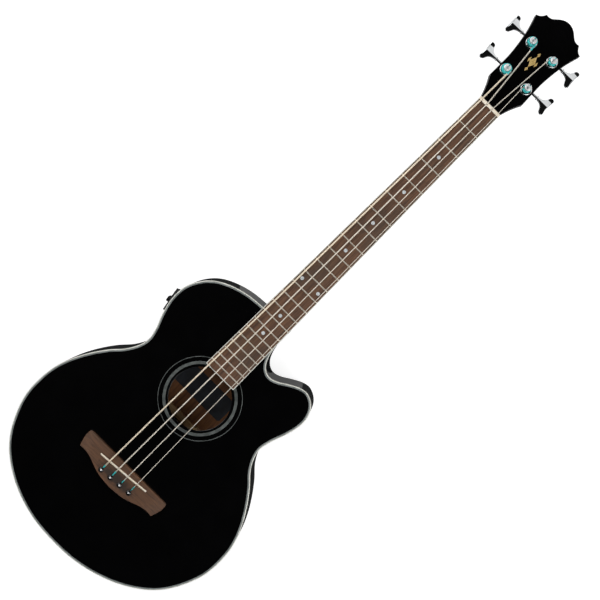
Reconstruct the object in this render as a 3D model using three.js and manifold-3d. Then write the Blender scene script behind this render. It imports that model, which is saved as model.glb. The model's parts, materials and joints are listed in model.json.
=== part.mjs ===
// Acoustic bass guitar lying on its back, in millimetres.
// +Z is up, +Y runs along the neck and +X points to the treble side.
// The origin is on the flat underside of the back, under the point where the scale length starts.

import * as THREE from 'three';
import { mergeVertices } from 'three/addons/utils/BufferGeometryUtils.js';
import Module from 'manifold-3d';

const wasm = await Module();
wasm.setup();

// Clearances
const seatGap = 0.3;
const inlayGap = 0.15;
const runGap = 0.25;
const overrun = 4;

// Strings and scale, from the thickest string to the thinnest
const scaleLength = 812.8;
const stringGauges = [2.67, 2.16, 1.65, 1.14];
const stringNames = ['e', 'a', 'd', 'g'];
const windingTurns = [2.1, 2.6, 2.6, 3.1];
const saddleSpacing = 18.9;
const nutSpacing = 11.35;
const windingSpace = 0.85;
const bendShare = 0.6;
const stringSlack = 0.3;
const stringSink = 1.7;
const ballRadius = 2.8;
const ballHeight = 4;
const stringSides = 6;
const windingSteps = 14;
const leadInSteps = 6;

// Body box
const tailReach = 162.5;
const tailShift = 7;
const joinFret = 15;
const lowerBass = 200.7;
const lowerTreble = 209.5;
const waistBass = 122;
const waistTreble = 127.5;
const upperBass = 141.7;
const upperTreble = 146.1;
const neckSeatHalf = 29.2;
const neckDepth = 100;
const tailDepth = 112;
const topThickness = 3.2;
const backThickness = 3;
const sideThickness = 2.4;
const bindingWidth = 2.2;
const bindingHeight = 6;
const liningWidth = 6;
const liningHeight = 13;
const rimTolerance = 0.45;

// Soundhole and its rings
const holeX = 2.9;
const holePlaceShare = 0.65465;
const holeRadius = 51;
const innerRingRadius = 55.2;
const innerRingWidth = 5.7;
const outerRingRadius = 66.9;
const outerRingWidth = 1.6;
const ringDepth = 1.2;
const ringSegments = 32;

// Braces and blocks
const braceWidth = 8;
const braceHeight = 15;
const braceTip = 5;
const braceTaper = 55;
const crossX = 2.9;
const crossPlaceShare = 0.465;
const crossAngle = 45;
const crossLeg = 205;
const crossArm = 128;
const upperBracePlaceShare = 0.798;
const upperBraceLength = 190;
const toneBraceX = 5;
const toneBracePlaceShare = 0.14;
const toneBraceLength = 190;
const toneBraceAngle = -9;
const backBraceWidth = 12;
const backBraceHeight = 14;
const backBracePlaceShares = [0.1795, 0.5424, 0.8419];
const neckBlockLength = 52;
const neckBlockBassHalf = 46;
const tailBlockLength = 26;
const tailBlockHalf = 42;
const plateHalf = 48;
const plateFront = 8;
const plateLength = 46;
const plateThickness = 2.5;

// Bridge, saddle and pins
const bridgeHalf = 85;
const bridgeFront = 10.6;
const bridgeBelly = 34;
const bridgeHeight = 9;
const bridgeWingHeight = 5;
const bridgeWing = 27;
const saddleLength = 94;
const saddleThickness = 3;
const saddleTop = 13.4;
const saddleSlant = 4.9;
const saddleSetback = 1.5;
const saddleFloor = 3.2;
const pickupHeight = 1.6;
const pinSetback = 19.4;
const pinRadius = 2.6;
const pinTipRadius = 2;
const pinHeadRadius = 4.4;
const pinHeadHeight = 2.6;
const pinLength = 24;

// Neck, fingerboard and nut
const nutHalf = 21.25;
const boardEndHalf = 30.6;
const boardTail = 12.9;
const boardThickness = 6.5;
const boardCrown = 305;
const boardBinding = 1.5;
const fretCount = 22;
const fretWidth = 2.5;
const fretHeight = 1.2;
const fretInset = 0.5;
const nutThickness = 5.2;
const nutLift = 1.7;
const nutLip = 0.9;
const neckBodyThickness = 20;
const neckNutThickness = 15.5;
const rodRadius = 3;
const rodLength = 440;
const heelLength = 74;
const heelTipLength = 24;
const heelHalf = 25.5;
const heelTipHalf = 19;
const heelClearance = 1.5;

// Headstock
const headAngle = 14;
const headLean = 1.15;
const headRise = 2.2;
const headOffset = 1.4;
const headHalf = 47.8;
const headLength = 185.6;
const headThickness = 13;
const headPlateThickness = 2;
const throatLength = 30;

// Tuners: places from the centre line and from the nut end of the headstock
const tunerOffset = 22.4;
const tunerPlaces = [57.9, 119.1];
const ferruleRadius = 9.3;
const ferruleHeight = 1.7;
const sleeveWall = 1.3;
const sleeveLength = 12;
const postRadius = 5;
const postTop = 16;
const postCapRadius = 6.2;
const postCapHeight = 3.4;
const postSlotWidth = 2.2;
const postSlotDepth = 6;
const spindleRadius = 3;
const tunerPlateThickness = 1.5;
const tunerPlateHalf = 11.2;
const tunerPlateLow = 13;
const tunerPlateHigh = 21;
const tunerPlateCorner = 3;
const gearTeeth = 20;
const gearPitch = 2;
const gearWidth = 5;
const gearAddendum = 0.65;
const gearDedendum = 0.85;
const toothShare = 0.36;
const flankAngle = 20;
const wormPitchRadius = 2.9;
const wormTurns = 3.5;
const wormDrop = 4.1;
const wormSteps = 8;
const shaftRadius = 2.2;
const earThickness = 2;
const earHalf = 3.8;
const earDrop = 4.2;
const keyCollar = 22;
const keyCollarRadius = 3.6;
const keyCollarWidth = 1.8;
const keyReach = 46.2;
const keyHalf = 15.5;
const keyThickness = 6.5;
const keyEdge = 2.6;
const keyBend = 2.2;

// Preamp in the bass rib, with its battery
const preampPlaceShare = 0.7913;
const panelHalf = 18;
const panelTop = 16;
const panelHeight = 62;
const panelProud = 3;
const housingHalf = 15;
const housingMargin = 2.5;
const circuitDepth = 24;
const bayDepth = 53;
const batteryLength = 48.5;
const batteryWidth = 26.5;
const batteryHeight = 17.5;
const bayGap = 0.4;
const bayLift = 4;
const knobRadius = 4.3;
const knobHeight = 4.2;
const knobSpacing = 11;
const knobCount = 3;
const knobShaftRadius = 1.4;
const knobShaftLength = 6;
const doorThickness = 1.6;
const doorLip = 1;
const barrelRadius = 1.6;
const hingePinRadius = 0.8;
const lugWidth = 2.4;

// Output socket on the tail
const jackRadius = 5.7;
const jackBore = 3.25;
const jackBoreDepth = 30;
const jackProud = 12;
const jackFlangeRadius = 8.5;
const jackFlangeHeight = 2.2;
const jackEndRadius = 7.6;
const jackEndHeight = 3;
const jackInside = 36;

// Places that follow from the sizes
const degree = Math.PI / 180;
const nutY = scaleLength;
const jointY = scaleLength / 2 ** (joinFret / 12);
const tailY = -tailReach;
const bodyLength = jointY - tailY;
const holeY = alongBody(holePlaceShare);
const crossY = alongBody(crossPlaceShare);
const boardEndY = fretY(fretCount) - boardTail;
const backSlope = (tailDepth - neckDepth) / bodyLength;
const backAngle = Math.atan(backSlope);
const liningInset = sideThickness + seatGap + liningWidth;
const underTop = -topThickness - seatGap;
const boardBase = seatGap;
const bridgeTop = seatGap + bridgeHeight;
const stringCount = stringGauges.length;
const headY = nutY + nutThickness + headOffset;
const headWoodTop = -headPlateThickness - seatGap;
const headBack = headWoodTop - headThickness;
const gearRadius = gearTeeth * gearPitch / (2 * Math.PI);
const wormOffset = gearRadius + wormPitchRadius;
const tunerPlateBack = headBack - seatGap - tunerPlateThickness;
const wormLevel = tunerPlateBack - wormDrop;
const sleeveRadius = postRadius + runGap + sleeveWall;
const wallDepth = tailDepth + overrun;

function alongBody(share) {
  return tailY + share * bodyLength;
}

// Colours of the finishes
const finishes = {
  gloss: { color: 0x0b0b0c, roughness: 0.12, metalness: 0 },
  spruce: { color: 0xcaa878, roughness: 0.7, metalness: 0 },
  inner: { color: 0x8a5a34, roughness: 0.75, metalness: 0 },
  ivory: { color: 0xf1e3c6, roughness: 0.35, metalness: 0 },
  ring: { color: 0x787d7a, roughness: 0.3, metalness: 0 },
  rosewood: { color: 0x5f4634, roughness: 0.5, metalness: 0 },
  chrome: { color: 0xd9dcde, roughness: 0.08, metalness: 1 },
  steel: { color: 0x9a9a98, roughness: 0.35, metalness: 1 },
  bronze: { color: 0xc9b083, roughness: 0.35, metalness: 1 },
  plastic: { color: 0x141414, roughness: 0.45, metalness: 0 },
};

const guitar = new THREE.Group();

function add(name, geometry, finish, parent = guitar) {
  const mesh = new THREE.Mesh(geometry, new THREE.MeshStandardMaterial(finishes[finish]));
  mesh.name = name;
  parent.add(mesh);
  return mesh;
}

// Solids and shells

function signedVolume(geometry) {
  const place = geometry.getAttribute('position');
  const index = geometry.index.array;
  const corners = [new THREE.Vector3(), new THREE.Vector3(), new THREE.Vector3()];
  let volume = 0;
  for (let i = 0; i < index.length; i += 3) {
    corners.forEach((corner, k) => corner.fromBufferAttribute(place, index[i + k]));
    volume += corners[0].dot(corners[1].cross(corners[2]));
  }
  return volume;
}

function welded(geometry) {
  const bare = geometry.clone();
  bare.deleteAttribute('normal');
  bare.deleteAttribute('uv');
  const merged = mergeVertices(bare);
  const kept = [];
  const index = merged.index.array;
  for (let i = 0; i < index.length; i += 3) {
    const [a, b, c] = [index[i], index[i + 1], index[i + 2]];
    if (a !== b && b !== c && c !== a) kept.push(a, b, c);
  }
  merged.setIndex(kept);
  merged.clearGroups();
  if (signedVolume(merged) < 0) {
    const turned = [];
    for (let i = 0; i < kept.length; i += 3) turned.push(kept[i], kept[i + 2], kept[i + 1]);
    merged.setIndex(turned);
  }
  return merged;
}

function solid(geometry) {
  const merged = welded(geometry);
  return new wasm.Manifold(new wasm.Mesh({
    numProp: 3,
    vertProperties: merged.getAttribute('position').array,
    triVerts: new Uint32Array(merged.index.array),
  }));
}

function shell(body) {
  const mesh = body.getMesh();
  const geometry = new THREE.BufferGeometry();
  geometry.setAttribute('position', new THREE.BufferAttribute(mesh.vertProperties, 3));
  geometry.setIndex(new THREE.BufferAttribute(mesh.triVerts, 1));
  return geometry;
}

function box(x0, x1, y0, y1, z0, z1) {
  const geometry = new THREE.BoxGeometry(x1 - x0, y1 - y0, z1 - z0);
  return geometry.translate((x0 + x1) / 2, (y0 + y1) / 2, (z0 + z1) / 2);
}

// A round bar along +Z from one height to another.
function rod(radius, z0, z1, sides = 16) {
  const geometry = new THREE.CylinderGeometry(radius, radius, z1 - z0, sides);
  return geometry.rotateX(Math.PI / 2).translate(0, 0, (z0 + z1) / 2);
}

// A turned piece about +Z from points of radius and height.
function turned(profile, sides = 20) {
  const points = profile.map(([radius, height]) => new THREE.Vector2(radius, height));
  return welded(new THREE.LatheGeometry(points, sides).rotateX(Math.PI / 2));
}

function circle(x, y, radius, segments = ringSegments) {
  const points = [];
  for (let i = 0; i < segments; i += 1) {
    const angle = 2 * Math.PI * i / segments;
    points.push(new THREE.Vector2(x + radius * Math.cos(angle), y + radius * Math.sin(angle)));
  }
  return points;
}

// An upright slab on a plan outline; its bottom and top are heights or functions of the place.
function prism(outline, bottom, top, holes = []) {
  const shape = new THREE.Shape(outline);
  shape.holes = holes.map((hole) => new THREE.Path(hole));
  const geometry = new THREE.ExtrudeGeometry(shape, { depth: 1, bevelEnabled: false });
  const place = geometry.getAttribute('position');
  for (let i = 0; i < place.count; i += 1) {
    const level = place.getZ(i) > 1 / 2 ? top : bottom;
    const height = typeof level === 'function' ? level(place.getX(i), place.getY(i)) : level;
    place.setZ(i, height);
  }
  return welded(geometry);
}

// Skin over a row of rings with equal counts of points, closed at both ends.
function loft(rings) {
  const count = rings[0].length;
  const index = [];
  for (let r = 0; r + 1 < rings.length; r += 1) {
    for (let i = 0; i < count; i += 1) {
      const a = r * count + i;
      const b = r * count + (i + 1) % count;
      index.push(a, b, b + count, a, b + count, a + count);
    }
  }
  const last = (rings.length - 1) * count;
  for (let i = 1; i + 1 < count; i += 1) {
    index.push(0, i + 1, i, last, last + i, last + i + 1);
  }
  const geometry = new THREE.BufferGeometry().setFromPoints(rings.flat());
  geometry.setIndex(index);
  return welded(geometry);
}

// A round tube through a row of points.
function tube(points, radius, sides) {
  const rings = [];
  let side = new THREE.Vector3(1, 0, 0);
  points.forEach((point, i) => {
    const before = points[Math.max(i - 1, 0)];
    const after = points[Math.min(i + 1, points.length - 1)];
    const along = after.clone().sub(point).normalize().add(point.clone().sub(before).normalize()).normalize();
    side = side.clone().addScaledVector(along, -side.dot(along)).normalize();
    const up = along.clone().cross(side);
    const ring = [];
    for (let k = 0; k < sides; k += 1) {
      const angle = 2 * Math.PI * k / sides;
      const out = side.clone().multiplyScalar(Math.cos(angle)).addScaledVector(up, Math.sin(angle));
      ring.push(point.clone().addScaledVector(out, radius));
    }
    rings.push(ring);
  });
  return loft(rings);
}

// Each corner of a line is rounded within the given reach.
function softened(points, reach, steps = 2) {
  const path = [points[0]];
  for (let i = 1; i + 1 < points.length; i += 1) {
    const back = points[i - 1].clone().sub(points[i]).setLength(reach).add(points[i]);
    const on = points[i + 1].clone().sub(points[i]).setLength(reach).add(points[i]);
    path.push(...new THREE.QuadraticBezierCurve3(back, points[i], on).getPoints(steps));
  }
  path.push(points[points.length - 1]);
  return path;
}

function splinePoints(pairs, steps) {
  return new THREE.SplineCurve(pairs.map(([x, y]) => new THREE.Vector2(x, y))).getPoints(steps);
}

// Body outline

const bassUpperShares = [
  [0.511, 0.988], [0.808, 0.948], [0.968, 0.886], [1, 0.827], [0.958, 0.767], [0.884, 0.71],
];
const waistShare = 0.667;
const lowerShares = [
  [0.658, 0.615], [0.776, 0.558], [0.9, 0.482], [0.978, 0.405], [1, 0.329],
  [0.978, 0.252], [0.835, 0.135], [0.597, 0.057], [0.29, 0.011],
];
const trebleUpperShares = [
  [0.892, 0.71], [0.96, 0.767], [1, 0.828], [0.979, 0.862], [0.917, 0.89],
  [0.782, 0.907], [0.624, 0.89], [0.458, 0.8625], [0.371, 0.858],
];
const cutawayEndShares = [[1.445, 0.8705], [1.171, 0.8976], [1.041, 0.924], [1.005, 0.96], [1, 1]];

function rimPoints() {
  const at = (x, share) => new THREE.Vector3(x, alongBody(share), 0);
  const bass = [at(-neckSeatHalf, 1)];
  bassUpperShares.forEach(([x, y]) => bass.push(at(-upperBass * x, y)));
  bass.push(at(-waistBass, waistShare));
  lowerShares.forEach(([x, y]) => bass.push(at(-lowerBass * x, y)));
  const treble = lowerShares.map(([x, y]) => at(lowerTreble * x, y)).reverse();
  treble.push(at(waistTreble, waistShare));
  trebleUpperShares.forEach(([x, y]) => treble.push(at(upperTreble * x, y)));
  cutawayEndShares.forEach(([x, y]) => treble.push(at(neckSeatHalf * x, y)));
  return [...bass, at(tailShift, 0), ...treble];
}

const rimControl = rimPoints();
const rimCurve = new THREE.CatmullRomCurve3(rimControl, false, 'centripetal');
const rim = thinned(rimCurve.getPoints(8 * (rimControl.length - 1)), rimTolerance);

// A fine line keeps only the points it needs to stay within the tolerance.
function thinned(points, tolerance) {
  const kept = [points[0]];
  const foot = new THREE.Vector3();
  let from = 0;
  points.forEach((end, to) => {
    const chord = new THREE.Line3(points[from], end);
    const far = points.slice(from, to).some((point) => (
      chord.closestPointToPoint(point, true, foot).distanceTo(point) > tolerance));
    if (far) {
      from = to - 1;
      kept.push(points[from]);
    }
  });
  kept.push(points[points.length - 1]);
  return kept;
}

function rimInward(i) {
  const along = rim[Math.min(i + 1, rim.length - 1)].clone().sub(rim[Math.max(i - 1, 0)]).normalize();
  return new THREE.Vector2(-along.y, along.x);
}

// The rim moved inwards by a distance; the flat end under the neck moves back by as much.
function outline(inset) {
  const points = [];
  rim.forEach((point, i) => {
    const inward = rimInward(i);
    const moved = new THREE.Vector2(point.x, point.y).addScaledVector(inward, inset);
    moved.y = Math.min(moved.y, jointY - inset);
    const last = points[points.length - 1];
    if (!last || last.distanceTo(moved) > inlayGap) points.push(moved);
  });
  return points;
}

function aboveBack(height) {
  return (x, y) => height - tailDepth + (y - tailY) * backSlope;
}

const inside = solid(prism(outline(liningInset + seatGap), -wallDepth, overrun));
const betweenSides = solid(prism(outline(sideThickness + seatGap), -wallDepth, overrun));

function buildPlates() {
  const hole = circle(holeX, holeY, holeRadius);
  let top = solid(prism(outline(bindingWidth + inlayGap), -topThickness, 0, [hole]));
  top = top.subtract(ringGroove(innerRingRadius, innerRingWidth));
  top = top.subtract(ringGroove(outerRingRadius, outerRingWidth));
  add('soundboard', shell(top.subtract(pinHoles())), 'gloss');
  add('back_plate', prism(outline(0), aboveBack(0), aboveBack(backThickness)), 'gloss');
  add('top_binding', prism(outline(0), -bindingHeight, 0, [outline(bindingWidth)]), 'ivory');
}

function ringGroove(radius, width) {
  const outer = circle(holeX, holeY, radius + width + inlayGap);
  const inner = circle(holeX, holeY, radius - inlayGap);
  return solid(prism(outer, -ringDepth, overrun, [inner]));
}

function buildRosette() {
  [['rosette_inner', innerRingRadius, innerRingWidth], ['rosette_outer', outerRingRadius, outerRingWidth]]
    .forEach(([name, radius, width]) => {
      const outer = circle(holeX, holeY, radius + width);
      add(name, prism(outer, inlayGap - ringDepth, 0, [circle(holeX, holeY, radius)]), 'ring');
    });
}

// The two ribs meet in a seam at the tail; the bass one is cut for the preamp and both for the socket.
function buildSides() {
  const low = aboveBack(backThickness + seatGap);
  const ring = solid(prism(outline(0), low, -bindingHeight - seatGap, [outline(sideThickness)]));
  const cut = ring.subtract(jackHole()).subtract(preampCut());
  const halves = [
    ['side_bass', -Math.max(lowerBass, upperBass) - overrun, tailShift - inlayGap],
    ['side_treble', tailShift + inlayGap, Math.max(lowerTreble, upperTreble) + overrun],
  ];
  halves.forEach(([name, x0, x1]) => {
    const half = box(x0, x1, tailY - overrun, jointY + overrun, -wallDepth, overrun);
    add(name, shell(cut.intersect(solid(half))), 'gloss');
  });
}

function liningRing(bottom, top, grow = 0) {
  return prism(outline(sideThickness + seatGap - grow), bottom, top, [outline(liningInset + grow)]);
}

function buildLinings() {
  const low = backThickness + seatGap;
  add('top_lining', liningRing(underTop - liningHeight, underTop), 'inner');
  add('back_lining', liningRing(aboveBack(low), aboveBack(low + liningHeight)), 'inner');
}

// Blocks reach the ribs between the linings and are rebated round them.
function block(plan) {
  const low = backThickness + seatGap;
  const [x0, x1, y0, y1] = plan;
  const corners = [[x0, y0], [x1, y0], [x1, y1], [x0, y1]].map(([x, y]) => new THREE.Vector2(x, y));
  return solid(prism(corners, aboveBack(low), underTop))
    .intersect(betweenSides)
    .subtract(solid(liningRing(underTop - liningHeight - seatGap, overrun, seatGap)))
    .subtract(solid(liningRing(-wallDepth, aboveBack(low + liningHeight + seatGap), seatGap)));
}

function buildBlocks() {
  const neckBlock = [-neckBlockBassHalf, neckSeatHalf, jointY - neckBlockLength, jointY];
  add('neck_block', shell(block(neckBlock)), 'inner');
  const tailBlock = [tailShift - tailBlockHalf, tailShift + tailBlockHalf, tailY, tailY + tailBlockLength];
  add('tail_block', shell(block(tailBlock).subtract(jackHole())), 'inner');
}

// Braces: bars with tapered ends, glued under the top or on the back.

function braceBar(low, high) {
  const profile = [
    [low, 0], [low, -braceTip], [low + braceTaper, -braceHeight],
    [high - braceTaper, -braceHeight], [high, -braceTip], [high, 0],
  ];
  const shape = new THREE.Shape(profile.map(([x, y]) => new THREE.Vector2(x, y)));
  const bar = new THREE.ExtrudeGeometry(shape, { depth: braceWidth, bevelEnabled: false });
  return bar.rotateX(Math.PI / 2).translate(0, braceWidth / 2, 0);
}

function crossNotch(angle, z0, z1) {
  const half = braceWidth / 2 + seatGap / 2;
  const notch = box(-braceHeight, braceHeight, -half, half, z0, z1).rotateZ(angle * degree);
  return solid(notch.translate(crossX, crossY, 0));
}

function buildTopBraces() {
  const middle = underTop - braceHeight / 2;
  const bassAngle = crossAngle - 180;
  const trebleAngle = -crossAngle;
  const cross = (angle) => {
    const bar = braceBar(-crossArm, crossLeg).rotateZ(angle * degree);
    return solid(bar.translate(crossX, crossY, underTop));
  };
  const bass = cross(bassAngle).subtract(crossNotch(trebleAngle, -wallDepth, middle + seatGap / 2));
  const treble = cross(trebleAngle).subtract(crossNotch(bassAngle, middle - seatGap / 2, overrun));
  add('x_brace_bass', shell(bass.intersect(inside)), 'spruce');
  add('x_brace_treble', shell(treble.intersect(inside)), 'spruce');
  const upper = braceBar(-upperBraceLength / 2, upperBraceLength / 2);
  upper.translate(0, alongBody(upperBracePlaceShare), underTop);
  add('upper_brace', shell(solid(upper).intersect(inside)), 'spruce');
  const tone = braceBar(-toneBraceLength / 2, toneBraceLength / 2).rotateZ(toneBraceAngle * degree);
  tone.translate(toneBraceX, alongBody(toneBracePlaceShare), underTop);
  add('tone_brace', shell(solid(tone).intersect(inside)), 'spruce');
}

function buildBackBraces() {
  const low = backThickness + seatGap;
  const half = backBraceWidth / 2;
  backBracePlaceShares.forEach((share, i) => {
    const y = alongBody(share);
    const corners = [
      [-lowerBass, y - half], [lowerTreble, y - half], [lowerTreble, y + half], [-lowerBass, y + half],
    ];
    const plan = corners.map(([px, py]) => new THREE.Vector2(px, py));
    const bar = solid(prism(plan, aboveBack(low), aboveBack(low + backBraceHeight)));
    add(`back_brace_${i + 1}`, shell(bar.intersect(inside)), 'spruce');
  });
}

// Space between the two legs of the cross, clear of both.
function betweenLegs() {
  const angle = crossAngle * degree;
  const tip = crossY - (braceWidth / 2 + seatGap) / Math.cos(angle);
  const wide = crossLeg * Math.cos(angle);
  const long = crossLeg * Math.sin(angle);
  const corners = [[crossX, tip], [crossX - wide, tip - long], [crossX + wide, tip - long]];
  return solid(prism(corners.map(([x, y]) => new THREE.Vector2(x, y)), -wallDepth, overrun));
}

// Hardwood plate under the bridge, trimmed where it would meet the legs of the cross.
function buildBridgePlate() {
  const back = plateFront - plateLength;
  const plate = box(-plateHalf, plateHalf, back, plateFront, underTop - plateThickness, underTop);
  add('bridge_plate', shell(solid(plate).intersect(betweenLegs()).subtract(pinHoles())), 'inner');
}

// Bridge

const bellyShares = [
  [0, 0], [0.28, 0.049], [0.466, 0.15], [0.615, 0.258], [0.727, 0.316], [0.84, 0.33], [0.935, 0.31],
];
const wingShares = [[0.97, 0.5], [1, 0.73], [0.997, 0.91], [0.985, 0.962], [0.955, 0.994], [0.92, 1]];

function stringAt(i, spacing) {
  return (i - (stringCount - 1) / 2) * spacing;
}

function saddleY(x) {
  return x * Math.tan(saddleSlant * degree) - saddleSetback;
}

function pinPlace(i) {
  const x = stringAt(i, saddleSpacing);
  return new THREE.Vector2(x, saddleY(x) - pinSetback);
}

function pinStringOffset(i) {
  return pinRadius + runGap + stringGauges[i] / 2;
}

// Holes for the pins, each with the slot that lets its string down in front of the pin.
function pinHoles() {
  const cuts = stringGauges.map((gauge, i) => {
    const { x, y } = pinPlace(i);
    const half = gauge / 2 + runGap;
    const front = y + pinStringOffset(i) + half;
    const hole = solid(rod(pinRadius + inlayGap, -wallDepth, wallDepth, 10).translate(x, y, 0));
    return hole.add(solid(box(x - half, x + half, y, front, -wallDepth, wallDepth)));
  });
  return cuts.reduce((all, cut) => all.add(cut));
}

function saddleSpace(z0, z1, grow) {
  const half = saddleLength / 2 + grow;
  const thick = saddleThickness / 2 + grow;
  const space = box(-half, half, -thick, thick, z0, z1).rotateZ(saddleSlant * degree);
  return space.translate(0, -saddleSetback, 0);
}

function bridgeOutline() {
  const depth = bridgeFront + bridgeBelly;
  const half = bellyShares.map(([x, y]) => [x * bridgeHalf, y * depth - bridgeBelly]);
  const belly = splinePoints(half, 2 * half.length);
  const wing = wingShares.map(([x, y]) => new THREE.Vector2(x * bridgeHalf, y * depth - bridgeBelly));
  const right = [...belly, ...wing];
  const left = right.slice(1).reverse().map((point) => new THREE.Vector2(-point.x, point.y));
  return [...right, ...left];
}

// Open channel that lets each string rise from its pin towards the saddle.
function stringRamp(i) {
  const half = stringGauges[i] / 2 + runGap;
  const low = stringAtPin(i);
  const high = stringAtSaddle(i);
  const slope = (high.z - low.z) / (high.y - low.y);
  const drop = half * Math.hypot(1, slope);
  const end = high.y - saddleThickness;
  const plan = [[-half, low.y], [half, low.y], [half, end], [-half, end]];
  const corners = plan.map(([x, y]) => new THREE.Vector2(low.x + x, y));
  return solid(prism(corners, (x, y) => low.z - drop + (y - low.y) * slope, wallDepth));
}

function buildBridge() {
  const plan = solid(prism(bridgeOutline(), seatGap, bridgeTop));
  const flat = bridgeHalf - bridgeWing;
  const wide = bridgeHalf + overrun;
  const profile = [
    [-wide, 0], [wide, 0], [wide, bridgeWingHeight],
    [flat, bridgeTop], [-flat, bridgeTop], [-wide, bridgeWingHeight],
  ];
  const section = new THREE.Shape(profile.map(([x, y]) => new THREE.Vector2(x, y)));
  const length = bridgeFront + bridgeBelly + 2 * overrun;
  const bar = new THREE.ExtrudeGeometry(section, { depth: length, bevelEnabled: false });
  bar.rotateX(Math.PI / 2).translate(0, bridgeFront + overrun, 0);
  const groove = solid(saddleSpace(saddleFloor, wallDepth, inlayGap));
  let body = plan.intersect(solid(bar)).subtract(pinHoles()).subtract(groove);
  stringGauges.forEach((gauge, i) => {
    body = body.subtract(stringRamp(i));
  });
  add('bridge', shell(body), 'rosewood');
  add('pickup_strip', saddleSpace(saddleFloor + inlayGap, saddleFloor + pickupHeight, 0), 'steel');
}

function saddleCrown(x) {
  return saddleTop - x * x / (2 * boardCrown);
}

// Bone strip with a crowned top that falls away towards the pins.
function buildSaddle() {
  const rings = [];
  const steps = 6;
  const bottom = saddleFloor + pickupHeight + inlayGap;
  const thick = saddleThickness / 2;
  for (let i = 0; i <= steps; i += 1) {
    const x = saddleLength * (i / steps - 1 / 2);
    const top = saddleCrown(x);
    const section = [
      [-thick, bottom], [thick, bottom], [thick, top - thick / 2],
      [thick / 3, top], [-thick / 6, top], [-thick, top - thick],
    ];
    rings.push(section.map(([y, z]) => new THREE.Vector3(x, y, z)));
  }
  add('saddle', loft(rings).rotateZ(saddleSlant * degree).translate(0, -saddleSetback, 0), 'ivory');
}

function buildPins() {
  const base = bridgeTop + inlayGap;
  const headShares = [[1, 0], [1, 1 / 3], [0.7, 0.85], [0, 1]];
  const head = headShares.map(([out, up]) => [pinHeadRadius * out, base + pinHeadHeight * up]);
  const profile = [[0, base - pinLength], [pinTipRadius, base - pinLength], [pinRadius, base], ...head];
  stringGauges.forEach((gauge, i) => {
    const { x, y } = pinPlace(i);
    add(`bridge_pin_${i + 1}`, turned(profile, 10).translate(x, y, 0), 'plastic');
  });
}

// Fingerboard

function boardHalf(y) {
  return nutHalf + (nutY - y) * (boardEndHalf - nutHalf) / (nutY - boardEndY);
}

function boardTop(x) {
  return boardBase + boardThickness - x * x / (2 * boardCrown);
}

// Section across the board at one place: flat below, crowned above.
function crownRing(half, y, bottom, lift, steps) {
  const ring = [new THREE.Vector3(half, y, bottom), new THREE.Vector3(-half, y, bottom)];
  for (let i = 0; i <= steps; i += 1) {
    const x = half * (2 * i / steps - 1);
    ring.push(new THREE.Vector3(x, y, boardTop(x) + lift));
  }
  return ring;
}

function fretY(fret) {
  return nutY / 2 ** (fret / 12);
}

function fretBar(y) {
  const half = boardHalf(y) - fretInset;
  const bottom = boardTop(half) - inlayGap;
  const low = fretHeight / 3;
  const profileShares = [[-1 / 2, low], [0, fretHeight], [1 / 2, low]];
  return loft(profileShares.map(([share, lift]) => crownRing(half, y + share * fretWidth, bottom, lift, 2)));
}

function buildBoard() {
  const inset = boardBinding + inlayGap;
  const endY = boardEndY + inset;
  const ends = [[boardHalf(endY), endY], [boardHalf(nutY), nutY - seatGap]];
  let board = solid(loft(ends.map(([half, y]) => crownRing(half - inset, y, boardBase, 0, 4))));
  for (let fret = 1; fret <= fretCount; fret += 1) board = board.add(solid(fretBar(fretY(fret))));
  add('fingerboard', shell(board), 'rosewood');
}

function buildBoardBinding() {
  const steps = 6;
  const front = nutY - seatGap;
  const rims = [0, boardBinding].map((inset) => {
    const end = boardEndY + inset;
    const points = [new THREE.Vector2(inset - boardHalf(front), front)];
    for (let i = 0; i <= steps; i += 1) {
      points.push(new THREE.Vector2((boardHalf(boardEndY) - inset) * (2 * i / steps - 1), end));
    }
    points.push(new THREE.Vector2(boardHalf(front) - inset, front));
    return points;
  });
  const strip = [...rims[0], ...rims[1].reverse()];
  add('fingerboard_binding', prism(strip, boardBase, (x) => boardTop(x) - seatGap - inlayGap), 'ivory');
}

function stringAtNut(i) {
  const x = stringAt(i, nutSpacing);
  return new THREE.Vector3(x, nutY + nutThickness + seatGap, boardTop(x) + nutLift + stringGauges[i] / 2);
}

function stringAtPin(i) {
  const { x, y } = pinPlace(i);
  return new THREE.Vector3(x, y + pinStringOffset(i), bridgeTop - stringSink - stringGauges[i] / 2);
}

function stringAtSaddle(i) {
  const x = stringAt(i, saddleSpacing);
  return new THREE.Vector3(x, saddleY(x), saddleCrown(x) + stringSlack + stringGauges[i] / 2);
}

function buildNut() {
  const ends = [nutY, nutY + nutThickness];
  let nut = solid(loft(ends.map((y) => crownRing(nutHalf, y, boardBase, nutLift + nutLip, 6))));
  stringGauges.forEach((gauge, i) => {
    const slot = tube([stringAtSaddle(i), stringAtNut(i)], gauge / 2 + runGap, 8);
    nut = nut.subtract(solid(slot));
  });
  add('nut', shell(nut), 'ivory');
}

// Neck: a tapered shaft, a heel and a headstock joined into one piece.

function shaftRing(y, half, top, thickness) {
  const ring = [];
  const steps = 10;
  for (let i = 0; i <= steps; i += 1) {
    const angle = Math.PI * i / steps;
    ring.push(new THREE.Vector3(half * Math.cos(angle), y, top - thickness * Math.sin(angle) ** (3 / 4)));
  }
  return ring;
}

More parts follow.
